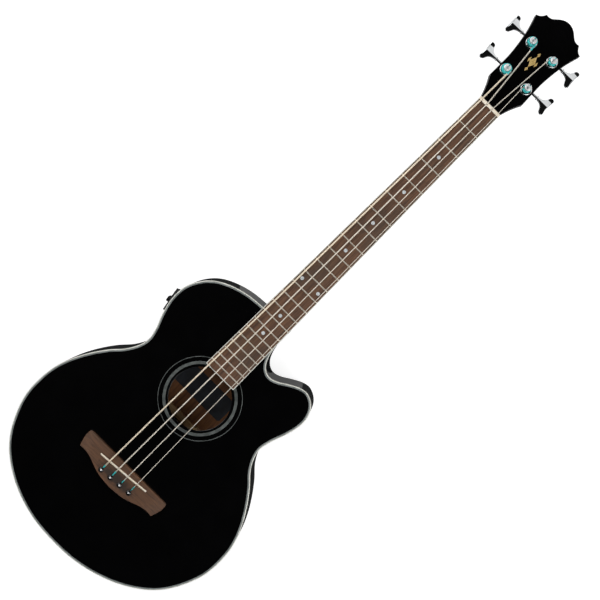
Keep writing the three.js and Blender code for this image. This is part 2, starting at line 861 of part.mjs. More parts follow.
function neckShaft() {
  const start = jointY + seatGap;
  const seatEnd = nutY + nutThickness;
  const drop = Math.tan(headAngle * degree);
  const rings = [
    shaftRing(start, boardHalf(start), 0, neckBodyThickness),
    shaftRing(nutY - headThickness, boardHalf(nutY - headThickness), 0, neckNutThickness),
    shaftRing(seatEnd, nutHalf, 0, neckNutThickness),
  ];
  const throatShares = [[1 / 3, 1.02, 1.01], [2 / 3, 1.03, 0.9], [1, 1, 0.8]];
  const face = headRise + headWoodTop / Math.cos(headAngle * degree) - inlayGap;
  throatShares.forEach(([along, wide, deep]) => {
    const y = headY + along * throatLength;
    rings.push(shaftRing(y, nutHalf * wide, face - (y - headY) * drop, neckNutThickness * deep));
  });
  return loft(rings);
}

// The heel narrows from the shaft down to the back, flat where it meets the body.
function neckHeel() {
  const tip = aboveBack(heelClearance)(0, jointY);
  const levelShares = [[0.45, 1, 1], [1, 0.97, 0.86], [2, 0.92, 0.62], [3.2, 0.87, 0.5]];
  const heelRing = (z, half, length) => {
    const ring = [];
    const steps = 10;
    for (let i = 0; i <= steps; i += 1) {
      const angle = Math.PI * i / steps;
      const out = length * Math.sin(angle) ** (4 / 5);
      ring.push(new THREE.Vector3(half * Math.cos(angle), jointY + seatGap + out, z));
    }
    return ring;
  };
  const rings = levelShares.map(([depth, wide, long]) => (
    heelRing(-neckBodyThickness * depth, heelHalf * wide, heelLength * long)));
  rings.push(heelRing(tip, heelTipHalf, heelTipLength));
  return loft(rings);
}

// Right half of the headstock in four stretches: throat, side, upper corner and crest.
const headstockShares = [
  [[0.437, 0], [0.481, 0.038], [0.575, 0.112], [0.734, 0.194]],
  [
    [0.734, 0.194], [0.722, 0.32], [0.722, 0.447], [0.741, 0.517],
    [0.78, 0.606], [0.851, 0.717], [0.941, 0.8055], [1, 0.854],
  ],
  [[1, 0.854], [0.879, 0.8685], [0.799, 0.8906], [0.741, 0.9186]],
  [
    [0.741, 0.9186], [0.628, 0.9154], [0.523, 0.9235], [0.423, 0.944],
    [0.297, 0.9725], [0.157, 0.9925], [0, 1],
  ],
];
const headSteps = [2, 7, 3, 6];

function headOutline() {
  const right = [];
  headstockShares.forEach((section, k) => {
    const pairs = section.map(([x, y]) => [x * headHalf, y * headLength]);
    right.push(...splinePoints(pairs, headSteps[k]).slice(k ? 1 : 0));
  });
  const left = right.slice(0, -1).reverse().map((point) => new THREE.Vector2(-point.x, point.y));
  return [...right, ...left];
}

// Frame of the headstock: tilted back at the nut, leaning a little to the bass side.
const headFrame = new THREE.Matrix4().makeTranslation(0, headY, headRise)
  .multiply(new THREE.Matrix4().makeRotationX(-headAngle * degree))
  .multiply(new THREE.Matrix4().makeRotationZ(headLean * degree));

const tuners = [
  { side: -1, place: tunerPlaces[0] },
  { side: -1, place: tunerPlaces[1] },
  { side: 1, place: tunerPlaces[1] },
  { side: 1, place: tunerPlaces[0] },
];

function postHoles() {
  const holes = tuners.map(({ side, place }) => {
    const hole = rod(sleeveRadius + inlayGap, headBack - overrun, overrun);
    return solid(hole.translate(side * tunerOffset, place, 0));
  });
  return holes.reduce((all, hole) => all.add(hole));
}

function buildNeck() {
  const holes = postHoles();
  const plate = solid(prism(headOutline(), -headPlateThickness, 0)).subtract(holes);
  add('head_plate', shell(plate).applyMatrix4(headFrame), 'gloss');
  const wood = solid(prism(headOutline(), headBack, headWoodTop).applyMatrix4(headFrame));
  const half = rodRadius + seatGap;
  const end = jointY + overrun + rodLength + seatGap;
  const channel = box(-half, half, jointY - overrun, end, -2 * half, overrun);
  const neck = solid(neckShaft()).add(solid(neckHeel())).add(wood)
    .subtract(solid(shell(holes).applyMatrix4(headFrame)))
    .subtract(solid(channel));
  add('neck', shell(neck), 'gloss');
  const start = jointY + overrun;
  const bar = rod(rodRadius, 0, rodLength, 12).rotateX(-Math.PI / 2).translate(0, start, -half);
  add('truss_rod', bar, 'steel');
}

// Strings: up beside the pin, over saddle and nut, then down round the post.

function postCentre(i) {
  return new THREE.Vector2(tuners[i].side * tunerOffset, tuners[i].place);
}

function windingPoints(i) {
  const radius = stringGauges[i] / 2;
  const around = postRadius + runGap + radius;
  const pitch = 2 * radius + windingSpace;
  const centre = postCentre(i);
  const nut = stringAtNut(i).applyMatrix4(headFrame.clone().invert());
  const turn = -tuners[i].side;
  const reach = new THREE.Vector2(nut.x, nut.y).sub(centre);
  const start = reach.angle() + turn * Math.acos(around / reach.length());
  const low = ferruleHeight + seatGap + radius;
  const turns = windingTurns[i];
  const points = [];
  const count = Math.ceil(turns * windingSteps);
  for (let k = 0; k <= count; k += 1) {
    const angle = start + turn * 2 * Math.PI * turns * k / count;
    const height = low + pitch * turns * (1 - k / count);
    const x = centre.x + around * Math.cos(angle);
    const y = centre.y + around * Math.sin(angle);
    points.push(new THREE.Vector3(x, y, height));
  }
  const ahead = points[count].clone().sub(points[count - 1]).setLength(2 * radius);
  points.push(points[count].clone().add(ahead));
  return points;
}

// Least space between stretches of one string that lie more than half a turn apart.
function leastGap(points, radius) {
  let least = Infinity;
  const apart = Math.ceil(windingSteps / 2);
  for (let a = 0; a < points.length; a += 1) {
    for (let b = a + apart; b < points.length; b += 1) {
      least = Math.min(least, points[a].distanceTo(points[b]) - 2 * radius);
    }
  }
  return least;
}

// The end of the straight stretch before the first turn, one point to each gauge of length.
function leadIn(i, end) {
  const nut = stringAtNut(i);
  const points = [];
  for (let k = leadInSteps; k > 0; k -= 1) {
    points.push(end.clone().lerp(nut, k * stringGauges[i] / end.distanceTo(nut)));
  }
  return points;
}

function buildStrings() {
  const gaps = [];
  stringGauges.forEach((gauge, i) => {
    const { x, y } = pinPlace(i);
    const ball = underTop - plateThickness - seatGap - ballHeight / 2;
    const bend = stringAtPin(i);
    const winding = windingPoints(i).map((point) => point.applyMatrix4(headFrame));
    const bends = [
      new THREE.Vector3(x, bend.y, ball),
      bend,
      stringAtSaddle(i),
      stringAtNut(i),
      winding[0],
    ];
    const path = [...softened(bends, bendShare * gauge), ...winding.slice(1)];
    const behind = y + pinRadius + seatGap + ballRadius;
    const end = rod(ballRadius, ball - ballHeight / 2, ball + ballHeight / 2, 10).translate(x, behind, 0);
    const wire = solid(tube(path, gauge / 2, stringSides)).add(solid(end));
    add(`string_${stringNames[i]}`, shell(wire), 'bronze');
    gaps.push(leastGap([...leadIn(i, winding[0]), ...winding], gauge / 2).toFixed(2));
  });
  console.log(`least gap of each string to itself: ${gaps.join(', ')} mm`);
}

// Tuners

// Worm wheel with a tooth gap towards +Y, its teeth leaning with the thread.
function gearWheel() {
  const root = gearRadius - gearDedendum;
  const tip = gearRadius + gearAddendum;
  const slope = Math.tan(flankAngle * degree);
  const halfTooth = gearPitch * toothShare / 2;
  const rootAngle = (halfTooth + gearDedendum * slope) / root;
  const tipAngle = (halfTooth - gearAddendum * slope) / tip;
  const points = [];
  for (let tooth = 0; tooth < gearTeeth; tooth += 1) {
    const middle = Math.PI / 2 + (tooth + 1 / 2) * 2 * Math.PI / gearTeeth;
    [[root, -rootAngle], [tip, -tipAngle], [tip, tipAngle], [root, rootAngle]].forEach(([radius, turn]) => {
      points.push(new THREE.Vector2(radius * Math.cos(middle + turn), radius * Math.sin(middle + turn)));
    });
  }
  const wheel = prism(points, -gearWidth / 2, gearWidth / 2);
  const place = wheel.getAttribute('position');
  const lead = gearPitch / (2 * Math.PI * wormPitchRadius);
  const corner = new THREE.Vector3();
  const upright = new THREE.Vector3(0, 0, 1);
  for (let i = 0; i < place.count; i += 1) {
    corner.fromBufferAttribute(place, i);
    corner.applyAxisAngle(upright, corner.z * lead / gearRadius);
    place.setXYZ(i, corner.x, corner.y, corner.z);
  }
  return wheel.translate(0, 0, wormLevel);
}

function buildPost(name, parent) {
  const shoulder = headBack + seatGap;
  const capBase = postTop - postCapHeight;
  const bottom = wormLevel - gearWidth / 2 - seatGap;
  const capShares = [[1, 0], [1, 2 / 3], [0.75, 1], [0, 1]];
  const cap = capShares.map(([out, up]) => [postCapRadius * out, capBase + postCapHeight * up]);
  const profile = [
    [0, bottom], [spindleRadius, bottom], [spindleRadius, shoulder], [postRadius, shoulder + spindleRadius],
    [postRadius, capBase - postCapRadius + postRadius], ...cap,
  ];
  const half = postSlotWidth / 2;
  const across = 2 * postRadius;
  const slot = box(-half, half, -across, across, postTop - postSlotDepth, postTop + overrun);
  const post = solid(turned(profile, 12)).subtract(solid(slot)).add(solid(gearWheel()));
  add(name, shell(post), 'chrome', parent);
}

function buildFerrule(name, parent) {
  const inner = postRadius + runGap;
  const crownShare = 0.88;
  const profile = [
    [inner, -sleeveLength], [sleeveRadius, -sleeveLength], [sleeveRadius, inlayGap],
    [ferruleRadius, inlayGap], [ferruleRadius, ferruleHeight / 2],
    [ferruleRadius * crownShare, ferruleHeight], [inner, ferruleHeight], [inner, -sleeveLength],
  ];
  add(name, turned(profile, 14), 'chrome', parent);
}

// Base plate with two ears that carry the worm.
function buildTunerPlate(name, parent) {
  const corner = tunerPlateCorner;
  const shape = new THREE.Shape();
  shape.moveTo(corner - tunerPlateHalf, -tunerPlateLow);
  shape.lineTo(tunerPlateHalf - corner, -tunerPlateLow);
  shape.quadraticCurveTo(tunerPlateHalf, -tunerPlateLow, tunerPlateHalf, corner - tunerPlateLow);
  shape.lineTo(tunerPlateHalf, tunerPlateHigh - corner);
  shape.quadraticCurveTo(tunerPlateHalf, tunerPlateHigh, tunerPlateHalf - corner, tunerPlateHigh);
  shape.lineTo(corner - tunerPlateHalf, tunerPlateHigh);
  shape.quadraticCurveTo(-tunerPlateHalf, tunerPlateHigh, -tunerPlateHalf, tunerPlateHigh - corner);
  shape.lineTo(-tunerPlateHalf, corner - tunerPlateLow);
  shape.quadraticCurveTo(-tunerPlateHalf, -tunerPlateLow, corner - tunerPlateHalf, -tunerPlateLow);
  const points = shape.getPoints(2).slice(0, -1);
  const inner = wormHalf() + runGap;
  let plate = solid(prism(points, tunerPlateBack, tunerPlateBack + tunerPlateThickness));
  [-1, 1].forEach((side) => {
    const near = side * inner;
    const far = side * (inner + earThickness);
    const ear = box(Math.min(near, far), Math.max(near, far), wormOffset - earHalf, wormOffset + earHalf,
      wormLevel - earDrop, tunerPlateBack + tunerPlateThickness / 2);
    plate = plate.add(solid(ear));
  });
  const bore = rod(shaftRadius + runGap, -2 * inner, 2 * inner, 12).rotateY(Math.PI / 2);
  bore.translate(0, wormOffset, wormLevel);
  const hole = rod(spindleRadius + runGap, tunerPlateBack - overrun, tunerPlateBack + overrun);
  add(name, shell(plate.subtract(solid(bore)).subtract(solid(hole))), 'chrome', parent);
}

function wormHalf() {
  return gearPitch * wormTurns / 2 + gearPitch / 2;
}

// The thread is one ridge swept along a right-hand helix; its crest faces the wheel at the middle.
function wormThread() {
  const core = wormPitchRadius - gearDedendum;
  const crest = wormPitchRadius + gearAddendum;
  const slope = Math.tan(flankAngle * degree);
  const halfThread = gearPitch * toothShare / 2;
  const foot = core - runGap;
  const section = [
    [-halfThread - (wormPitchRadius - foot) * slope, foot], [gearAddendum * slope - halfThread, crest],
    [halfThread - gearAddendum * slope, crest], [halfThread + (wormPitchRadius - foot) * slope, foot],
  ];
  const count = Math.round(wormTurns * wormSteps);
  const rings = [];
  for (let k = 0; k <= count; k += 1) {
    const angle = 2 * Math.PI * wormTurns * (k / count - 1 / 2);
    const along = gearPitch * angle / (2 * Math.PI);
    rings.push(section.map(([offset, radius]) => (
      new THREE.Vector3(along + offset, -radius * Math.cos(angle), -radius * Math.sin(angle)))));
  }
  return loft(rings);
}

// Clover-leaf blade: rings across it grow from the stem to two lobes and bend out at the corners.
const bladeShares = [
  [0, 0.15, 1, 0], [0.16, 0.18, 0.95, 0], [0.34, 0.27, 0.85, 0], [0.52, 0.43, 0.8, 0],
  [0.67, 0.64, 0.8, 0.1], [0.8, 0.88, 0.8, 0.35], [0.87, 0.98, 0.8, 0.6],
  [0.93, 1, 0.75, 0.85], [0.985, 0.93, 0.65, 1], [1, 0.8, 0.5, 1],
];

function keyBlade() {
  const start = keyCollar + keyCollarWidth / 2;
  const length = keyReach - keyBend - start;
  const acrossShares = [-1, -0.6, 0, 0.6, 1];
  return loft(bladeShares.map(([along, wide, thick, bend]) => {
    const half = wide * keyHalf;
    const edge = Math.min(keyEdge * thick, 2 * half) / 2;
    const middle = keyThickness * thick / 2;
    const top = acrossShares.map((share) => {
      const x = start + along * length + bend * keyBend * share * share;
      return new THREE.Vector3(x, half * share, middle + (edge - middle) * Math.abs(share));
    });
    const bottom = top.map((point) => new THREE.Vector3(point.x, point.y, -point.z)).reverse();
    return [...top, ...bottom];
  }));
}

function keyGeometry() {
  const half = wormHalf();
  const core = wormPitchRadius - gearDedendum;
  const stub = half + runGap + earThickness + runGap;
  const profile = [
    [0, -stub], [shaftRadius, -stub], [shaftRadius, -half], [core, -half], [core, half], [shaftRadius, half],
    [shaftRadius, keyCollar - keyCollarWidth / 2], [keyCollarRadius, keyCollar - keyCollarWidth / 2],
    [keyCollarRadius, keyCollar + keyCollarWidth / 2], [shaftRadius, keyCollar + keyCollarWidth],
    [shaftRadius, keyCollar + 3 * keyCollarWidth], [0, keyCollar + 4 * keyCollarWidth],
  ];
  const shaft = turned(profile, 8).rotateY(Math.PI / 2);
  return shell(solid(shaft).add(solid(wormThread())).add(solid(keyBlade())));
}

function buildTuners() {
  const head = new THREE.Group();
  headFrame.decompose(head.position, head.quaternion, head.scale);
  guitar.add(head);
  tuners.forEach(({ side, place }, i) => {
    const tuner = new THREE.Group();
    tuner.position.set(side * tunerOffset, place, 0);
    head.add(tuner);
    buildFerrule(`tuner_ferrule_${i + 1}`, tuner);
    buildTunerPlate(`tuner_plate_${i + 1}`, tuner);
    buildPost(`tuner_post_${i + 1}`, tuner);
    const key = add(`tuner_key_${i + 1}`, keyGeometry(), 'chrome', tuner);
    key.position.set(0, wormOffset, wormLevel);
    if (side < 0) key.rotation.y = Math.PI;
  });
}

// Preamp: its frame stands on the bass rib, +X straight out of the wall and +Z up.

function preampFrame() {
  const level = alongBody(preampPlaceShare);
  const bassSide = rim.filter((point) => point.x < 0 && point.y > holeY);
  const nearest = bassSide.reduce((best, point) => (
    Math.abs(point.y - level) < Math.abs(best.y - level) ? point : best));
  const inward = rimInward(rim.indexOf(nearest));
  return new THREE.Matrix4().makeTranslation(nearest.x, nearest.y, 0)
    .multiply(new THREE.Matrix4().makeRotationZ(Math.atan2(-inward.y, -inward.x)));
}

const onWall = preampFrame();
const panelBottom = -panelTop - panelHeight;
const bayHalfHeight = batteryHeight / 2 + bayGap;
const bayMiddle = panelBottom + housingMargin + bayLift + bayHalfHeight;
const bayHalf = batteryWidth / 2 + bayGap;
const housingLow = panelBottom + housingMargin;
const housingHigh = -panelTop - housingMargin;
const doorFace = panelProud + seatGap;
const hingeX = doorFace + barrelRadius;
const hingeZ = bayMiddle - bayHalfHeight - doorLip;

function knobZ(k) {
  const top = -panelTop - housingMargin - knobRadius;
  return top - k * knobSpacing;
}

function preampCut() {
  const half = housingHalf + seatGap;
  const cut = box(-bayDepth, panelProud, -half, half, housingLow - seatGap, housingHigh + seatGap);
  return solid(cut.applyMatrix4(onWall));
}

function buildPreamp() {
  const grown = solid(prism(outline(-seatGap), -wallDepth, overrun));
  const face = box(-panelProud, panelProud, -panelHalf, panelHalf, panelBottom, -panelTop);
  const panel = solid(face.applyMatrix4(onWall)).subtract(grown);
  const circuit = box(-circuitDepth, panelProud, -housingHalf, housingHalf, housingLow, housingHigh);
  const pocketLow = bayMiddle - bayHalfHeight;
  const pocketHigh = bayMiddle + bayHalfHeight;
  const roof = pocketHigh + housingMargin / 2;
  const bay = box(-bayDepth, panelProud, -housingHalf, housingHalf, housingLow, roof);
  const pocket = box(-bayDepth + housingMargin, overrun, -bayHalf, bayHalf, pocketLow, pocketHigh);
  let housing = panel.add(solid(circuit.applyMatrix4(onWall))).add(solid(bay.applyMatrix4(onWall)));
  const lugInner = bayHalf + doorLip + seatGap;
  [-1, 1].forEach((side) => {
    const near = side * lugInner;
    const far = side * (lugInner + lugWidth);
    const lug = box(panelProud - seatGap, hingeX + barrelRadius, Math.min(near, far), Math.max(near, far),
      hingeZ - barrelRadius, hingeZ + barrelRadius);
    housing = housing.add(solid(lug.applyMatrix4(onWall)));
  });
  const pinBore = rod(hingePinRadius + inlayGap, -panelHalf, panelHalf, 10).rotateX(Math.PI / 2);
  pinBore.translate(hingeX, 0, hingeZ).applyMatrix4(onWall);
  housing = housing.subtract(solid(pocket.applyMatrix4(onWall))).subtract(solid(pinBore));
  for (let k = 0; k < knobCount; k += 1) {
    const hole = rod(knobShaftRadius + runGap, -knobShaftLength - seatGap, overrun, 12).rotateY(Math.PI / 2);
    housing = housing.subtract(solid(hole.translate(panelProud, 0, knobZ(k)).applyMatrix4(onWall)));
  }
  add('preamp_housing', shell(housing), 'plastic');
  const wide = batteryWidth / 2;
  const high = batteryHeight / 2;
  const cell = box(-batteryLength, 0, -wide, wide, -high, high);
  cell.translate(panelProud - seatGap, 0, bayMiddle - bayGap + inlayGap);
  add('battery', cell.applyMatrix4(onWall), 'steel');
}

function buildKnobs() {
  const capShares = [[0.94, 0.8], [0.75, 1], [0, 1]];
  const cap = capShares.map(([out, up]) => [knobRadius * out, knobHeight * up]);
  const profile = [
    [0, -knobShaftLength], [knobShaftRadius, -knobShaftLength], [knobShaftRadius, seatGap],
    [knobRadius, seatGap], ...cap,
  ];
  for (let k = 0; k < knobCount; k += 1) {
    const knob = turned(profile, 12).rotateY(Math.PI / 2).translate(panelProud, 0, knobZ(k));
    add(`preamp_knob_${k + 1}`, knob.applyMatrix4(onWall), 'plastic');
  }
}

// Flap over the battery, turning on a barrel with a pin at each end.
function buildDoor() {
  const half = bayHalf + doorLip;
  const top = bayMiddle + bayHalfHeight + doorLip;
  const barrel = rod(barrelRadius, -half, half, 12).rotateX(Math.PI / 2).translate(hingeX, 0, hingeZ);
  const end = half + lugWidth;
  const pins = rod(hingePinRadius, -end, end, 8).rotateX(Math.PI / 2).translate(hingeX, 0, hingeZ);
  const flap = box(doorFace, doorFace + doorThickness, -half, half, hingeZ, top);
  const door = solid(barrel).add(solid(pins)).add(solid(flap));
  add('battery_door', shell(door).applyMatrix4(onWall), 'plastic');
}

// Output socket through the tail seam, also the button for the strap.

function jackFrame() {
  return new THREE.Matrix4().makeTranslation(tailShift, tailY, -tailDepth / 2)
    .multiply(new THREE.Matrix4().makeRotationX(Math.PI / 2));
}

function jackHole() {
  return solid(rod(jackRadius + runGap, -jackInside - overrun, overrun).applyMatrix4(jackFrame()));
}

function buildJack() {
  const profile = [
    [0, -jackInside], [jackRadius, -jackInside], [jackRadius, seatGap], [jackFlangeRadius, seatGap],
    [jackFlangeRadius, jackFlangeHeight], [jackRadius, jackFlangeHeight + seatGap],
    [jackRadius, jackProud - jackEndHeight], [jackEndRadius, jackProud - jackEndHeight + seatGap],
    [jackEndRadius, jackProud], [jackBore, jackProud], [jackBore, jackProud - jackBoreDepth],
    [0, jackProud - jackBoreDepth],
  ];
  add('endpin_jack', turned(profile, 16).applyMatrix4(jackFrame()), 'chrome');
}

buildPlates();
buildRosette();
buildSides();
buildLinings();
buildBlocks();
buildTopBraces();
buildBackBraces();
buildBridgePlate();
buildBridge();
buildSaddle();
buildPins();
buildBoard();
buildBoardBinding();
buildNut();
buildNeck();
buildStrings();
buildTuners();
buildPreamp();
buildKnobs();
buildDoor();
buildJack();

// The tapered body is turned so that its back lies level at zero height under the origin.
guitar.rotation.x = -backAngle;
guitar.position.copy(new THREE.Vector3(0, 0, -aboveBack(0)(0, 0)).applyEuler(guitar.rotation));

const instrument = new THREE.Group();
instrument.add(guitar);
export default instrument;
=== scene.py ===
# %% [markdown]
# # An acoustic bass guitar on a studio floor
# The construction of the guitar is already there as a imported model, the frame: every piece at its real
# size, resting on its back, the neck along +Y. This notebook gives each piece its finish and adds what is
# too fine for the frame, such as fret crowns, inlays, silk on the strings and rounded edges.
# We load the frame first. The finished guitar has to stay inside it.

# %% Load the frame
import json
import math

import bmesh
import bpy
from mathutils import Matrix, Vector
from mathutils.geometry import interpolate_bezier


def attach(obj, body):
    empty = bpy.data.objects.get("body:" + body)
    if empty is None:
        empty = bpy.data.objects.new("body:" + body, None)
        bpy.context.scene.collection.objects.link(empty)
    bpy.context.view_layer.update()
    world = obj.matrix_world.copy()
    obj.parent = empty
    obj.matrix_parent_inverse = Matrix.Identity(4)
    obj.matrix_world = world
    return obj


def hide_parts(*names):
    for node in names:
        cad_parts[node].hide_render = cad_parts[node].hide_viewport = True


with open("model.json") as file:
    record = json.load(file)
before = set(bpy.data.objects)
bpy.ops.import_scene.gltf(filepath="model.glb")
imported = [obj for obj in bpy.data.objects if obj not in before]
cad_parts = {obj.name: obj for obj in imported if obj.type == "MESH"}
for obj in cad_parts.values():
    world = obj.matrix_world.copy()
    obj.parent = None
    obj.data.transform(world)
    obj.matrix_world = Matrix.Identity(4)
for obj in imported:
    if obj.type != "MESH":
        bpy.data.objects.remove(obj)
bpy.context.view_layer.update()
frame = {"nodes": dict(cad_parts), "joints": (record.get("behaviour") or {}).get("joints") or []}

scene = bpy.context.scene
print(f"{len(frame['nodes'])} pieces in the frame")

# %% [markdown]
# ## The guitar's own frame
# A guitar maker measures from the saddle: Y runs up the neck from where the scale length starts, X goes
# to the treble side and Z stands on the top, in millimetres. The guitar lies on its flat back, which is not
# parallel to the top, so one matrix lays that frame down. All pieces are modelled in the maker's frame.

# %% From the maker's millimetres to metres on the floor
MM = 0.001
SCALE_LENGTH = 812.8
FRET_COUNT = 22
JOIN_FRET = 15
TAIL_REACH = 162.5
NECK_DEPTH = 100
TAIL_DEPTH = 112


def fret_y(fret):
    """How far a fret lies from the start of the scale."""
    return SCALE_LENGTH / 2 ** (fret / 12)


joint_y = fret_y(JOIN_FRET)
back_slope = (TAIL_DEPTH - NECK_DEPTH) / (joint_y + TAIL_REACH)
depth_at_start = TAIL_DEPTH - TAIL_REACH * back_slope
LAY = Matrix.Rotation(-math.atan(back_slope), 4, "X") @ Matrix.Translation((0, 0, depth_at_start))
LAID = Matrix.Scale(MM, 4) @ LAY


def above_back(height):
    """Level of a surface that lies a height above the underside of the back, as a function of y."""
    return lambda y: height - TAIL_DEPTH + (y + TAIL_REACH) * back_slope


print(f"the top slopes {math.degrees(math.atan(back_slope)):.2f} degrees against the floor")

# %% [markdown]
# ## Camera
# The portrait looks almost straight down from about three metres, turned so that the neck points to the
# upper right corner. A long lens keeps the perspective flat. The camera is built from three directions:
# right, up and backwards, which are the columns of its matrix.

# %% The camera of the portrait
LENS = 120
SENSOR = 36
CAMERA_TILT = math.radians(3.9)
CAMERA_ROLL = math.radians(45.024)
CAMERA_DISTANCE = 3151
AIM = Vector((4.25, 391.7, 8))

backwards = Vector((0, math.sin(CAMERA_TILT), math.cos(CAMERA_TILT)))
neckwards = Vector((0, math.cos(CAMERA_TILT), -math.sin(CAMERA_TILT)))
sideways = Vector((1, 0, 0))
right = sideways * math.cos(CAMERA_ROLL) + neckwards * math.sin(CAMERA_ROLL)
up = neckwards * math.cos(CAMERA_ROLL) - sideways * math.sin(CAMERA_ROLL)
turned = Matrix((right, up, backwards)).transposed().to_4x4()
camera_place = LAY @ Matrix.Translation(AIM + backwards * CAMERA_DISTANCE) @ turned
camera_place.translation *= MM

camera = bpy.data.objects.new("camera", bpy.data.cameras.new("camera"))
camera.data.lens = LENS
camera.data.sensor_width = SENSOR
camera.matrix_world = camera_place
scene.collection.objects.link(camera)
scene.camera = camera
print("camera at", [round(v, 3) for v in camera_place.translation])

# %% [markdown]
# ## Nodes and colours
# Every finish below is made of shader nodes. One small function adds a node with its options and its
# links, another turns the sRGB code that a colour picker shows into the linear numbers that Blender uses.

# %% Helpers for materials


def hex_colour(code):
    """Linear colour of an sRGB hex code."""
    parts = [int(code[i:i + 2], 16) / 255 for i in (0, 2, 4)]
    linear = [p / 12.92 if p <= 0.04045 else ((p + 0.055) / 1.055) ** 2.4 for p in parts]
    return (*linear, 1)


def add_node(owner, kind, inputs=(), **options):
    """Adds a node; inputs pairs a socket with a value or with the output that feeds it."""
    new = owner.node_tree.nodes.new(kind)
    for option, value in options.items():
        setattr(new, option, value)
    for socket, value in dict(inputs).items():
        if isinstance(value, bpy.types.NodeSocket):
            owner.node_tree.links.new(value, new.inputs[socket])
        else:
            new.inputs[socket].default_value = value
    return new


def per_metre(size_mm):
    """Scale of a pattern whose features are that many millimetres apart."""
    return 1 / (size_mm * MM)


def shader_sockets(material):
    """The input sockets of the Principled shader."""
    return material.node_tree.nodes["Principled BSDF"].inputs


def new_finish(name, record_slot, **sockets):
    """A material with sockets of its Principled shader set."""
    material = bpy.data.materials.new(name)
    material.use_nodes = True
    material["record_slot"] = record_slot
    for socket, value in sockets.items():
        shader_sockets(material)[socket.replace("_", " ")].default_value = value
    return material


def feed(material, output, socket):
    """Links an output to a socket of the Principled shader."""
    material.node_tree.links.new(output, shader_sockets(material)[socket])


# Sockets of a Mix node that mixes colours.
FACTOR, FIRST, SECOND, MIXED = 0, 6, 7, 2
print("the grey 808080 is", round(hex_colour("808080")[0], 3), "in linear numbers")

# %% [markdown]
# ## Lacquer and woods
# The box and the neck are sprayed with black polyester lacquer, rubbed down and buffed: a deep black with a
# clear coat, whose only marks are a very slight orange peel and patches of polishing haze. The woods share
# one recipe, long streaks of two tones with pores, and differ in colour, spacing and direction.

# %% Black lacquer


def black_lacquer():
    """Buffed polyester lacquer: a black base under a clear coat gives sharp, dark reflections."""
    material = new_finish("buffed_black_lacquer", "black_lacquer", Coat_Weight=0.5, Coat_Roughness=0.03)
    place = add_node(material, "ShaderNodeTexCoord")
    haze = add_node(material, "ShaderNodeTexNoise",
                    {"Vector": place.outputs["Object"], "Scale": per_metre(45), "Detail": 4.0})
    tone = add_node(material, "ShaderNodeMix",
                    {FACTOR: haze.outputs["Fac"], FIRST: hex_colour("020202"), SECOND: hex_colour("050506")},
                    data_type="RGBA")
    feed(material, tone.outputs[MIXED], "Base Color")
    rub = add_node(material, "ShaderNodeMapRange",
                   {"Value": haze.outputs["Fac"], "To Min": 0.05, "To Max": 0.12})
    feed(material, rub.outputs["Result"], "Roughness")
    peel = add_node(material, "ShaderNodeTexNoise",
                    {"Vector": place.outputs["Object"], "Scale": per_metre(7), "Detail": 2.0})
    relief = add_node(material, "ShaderNodeBump",
                      {"Height": peel.outputs["Fac"], "Strength": 0.06, "Distance": 0.00006})
    feed(material, relief.outputs["Normal"], "Normal")
    return material


lacquer = black_lacquer()
print(lacquer.name)

# %% Woods from one recipe


def wood(name, slot, dark, light, streak_mm, along, roughness=0.55, pore=0.35, patch=None):
    """Open-grained wood: streaks along one direction, fine pores in them and slow changes of tone."""
    material = new_finish(name, slot, Roughness=roughness)
    place = add_node(material, "ShaderNodeTexCoord")
    # Patterns run 14 times slower along the grain than across it.
    stretch = [1 if axis != along else 1 / 14 for axis in range(3)]
    grain_place = add_node(material, "ShaderNodeMapping",
                           {"Vector": place.outputs["Object"], "Scale": stretch})
    streaks = add_node(material, "ShaderNodeTexNoise",
                       {"Vector": grain_place.outputs["Vector"], "Scale": per_metre(streak_mm),
                        "Detail": 5.0, "Roughness": 0.65, "Distortion": 0.4})
    tone = add_node(material, "ShaderNodeMapRange",
                    {"Value": streaks.outputs["Fac"], "From Min": 0.3, "From Max": 0.7})
    colour = add_node(material, "ShaderNodeMix",
                      {FACTOR: tone.outputs["Result"], FIRST: hex_colour(dark), SECOND: hex_colour(light)},
                      data_type="RGBA")
    pores = add_node(material, "ShaderNodeTexNoise",
                     {"Vector": grain_place.outputs["Vector"], "Scale": per_metre(streak_mm / 4),
                      "Detail": 2.0})
    pits = add_node(material, "ShaderNodeMapRange",
                    {"Value": pores.outputs["Fac"], "From Min": 0.56, "From Max": 0.72,
                     "To Min": 0.0, "To Max": pore})
    pored = add_node(material, "ShaderNodeMix",
                     {FACTOR: pits.outputs["Result"], FIRST: colour.outputs[MIXED],
                      SECOND: hex_colour("140d08")}, data_type="RGBA")
    finished = pored.outputs[MIXED]
    if patch:
        cloud = add_node(material, "ShaderNodeTexNoise",
                         {"Vector": place.outputs["Object"], "Scale": per_metre(60), "Detail": 2.0})
        share = add_node(material, "ShaderNodeMapRange",
                         {"Value": cloud.outputs["Fac"], "From Min": 0.45, "From Max": 0.65,
                          "To Min": 0.0, "To Max": 0.55})
        patched = add_node(material, "ShaderNodeMix",
                           {FACTOR: share.outputs["Result"], FIRST: finished, SECOND: hex_colour(patch)},
                           data_type="RGBA")
        finished = patched.outputs[MIXED]
    feed(material, finished, "Base Color")
    relief = add_node(material, "ShaderNodeBump",
                      {"Height": pores.outputs["Fac"], "Strength": 0.25, "Distance": 0.0001}, invert=True)
    feed(material, relief.outputs["Normal"], "Normal")
    return material


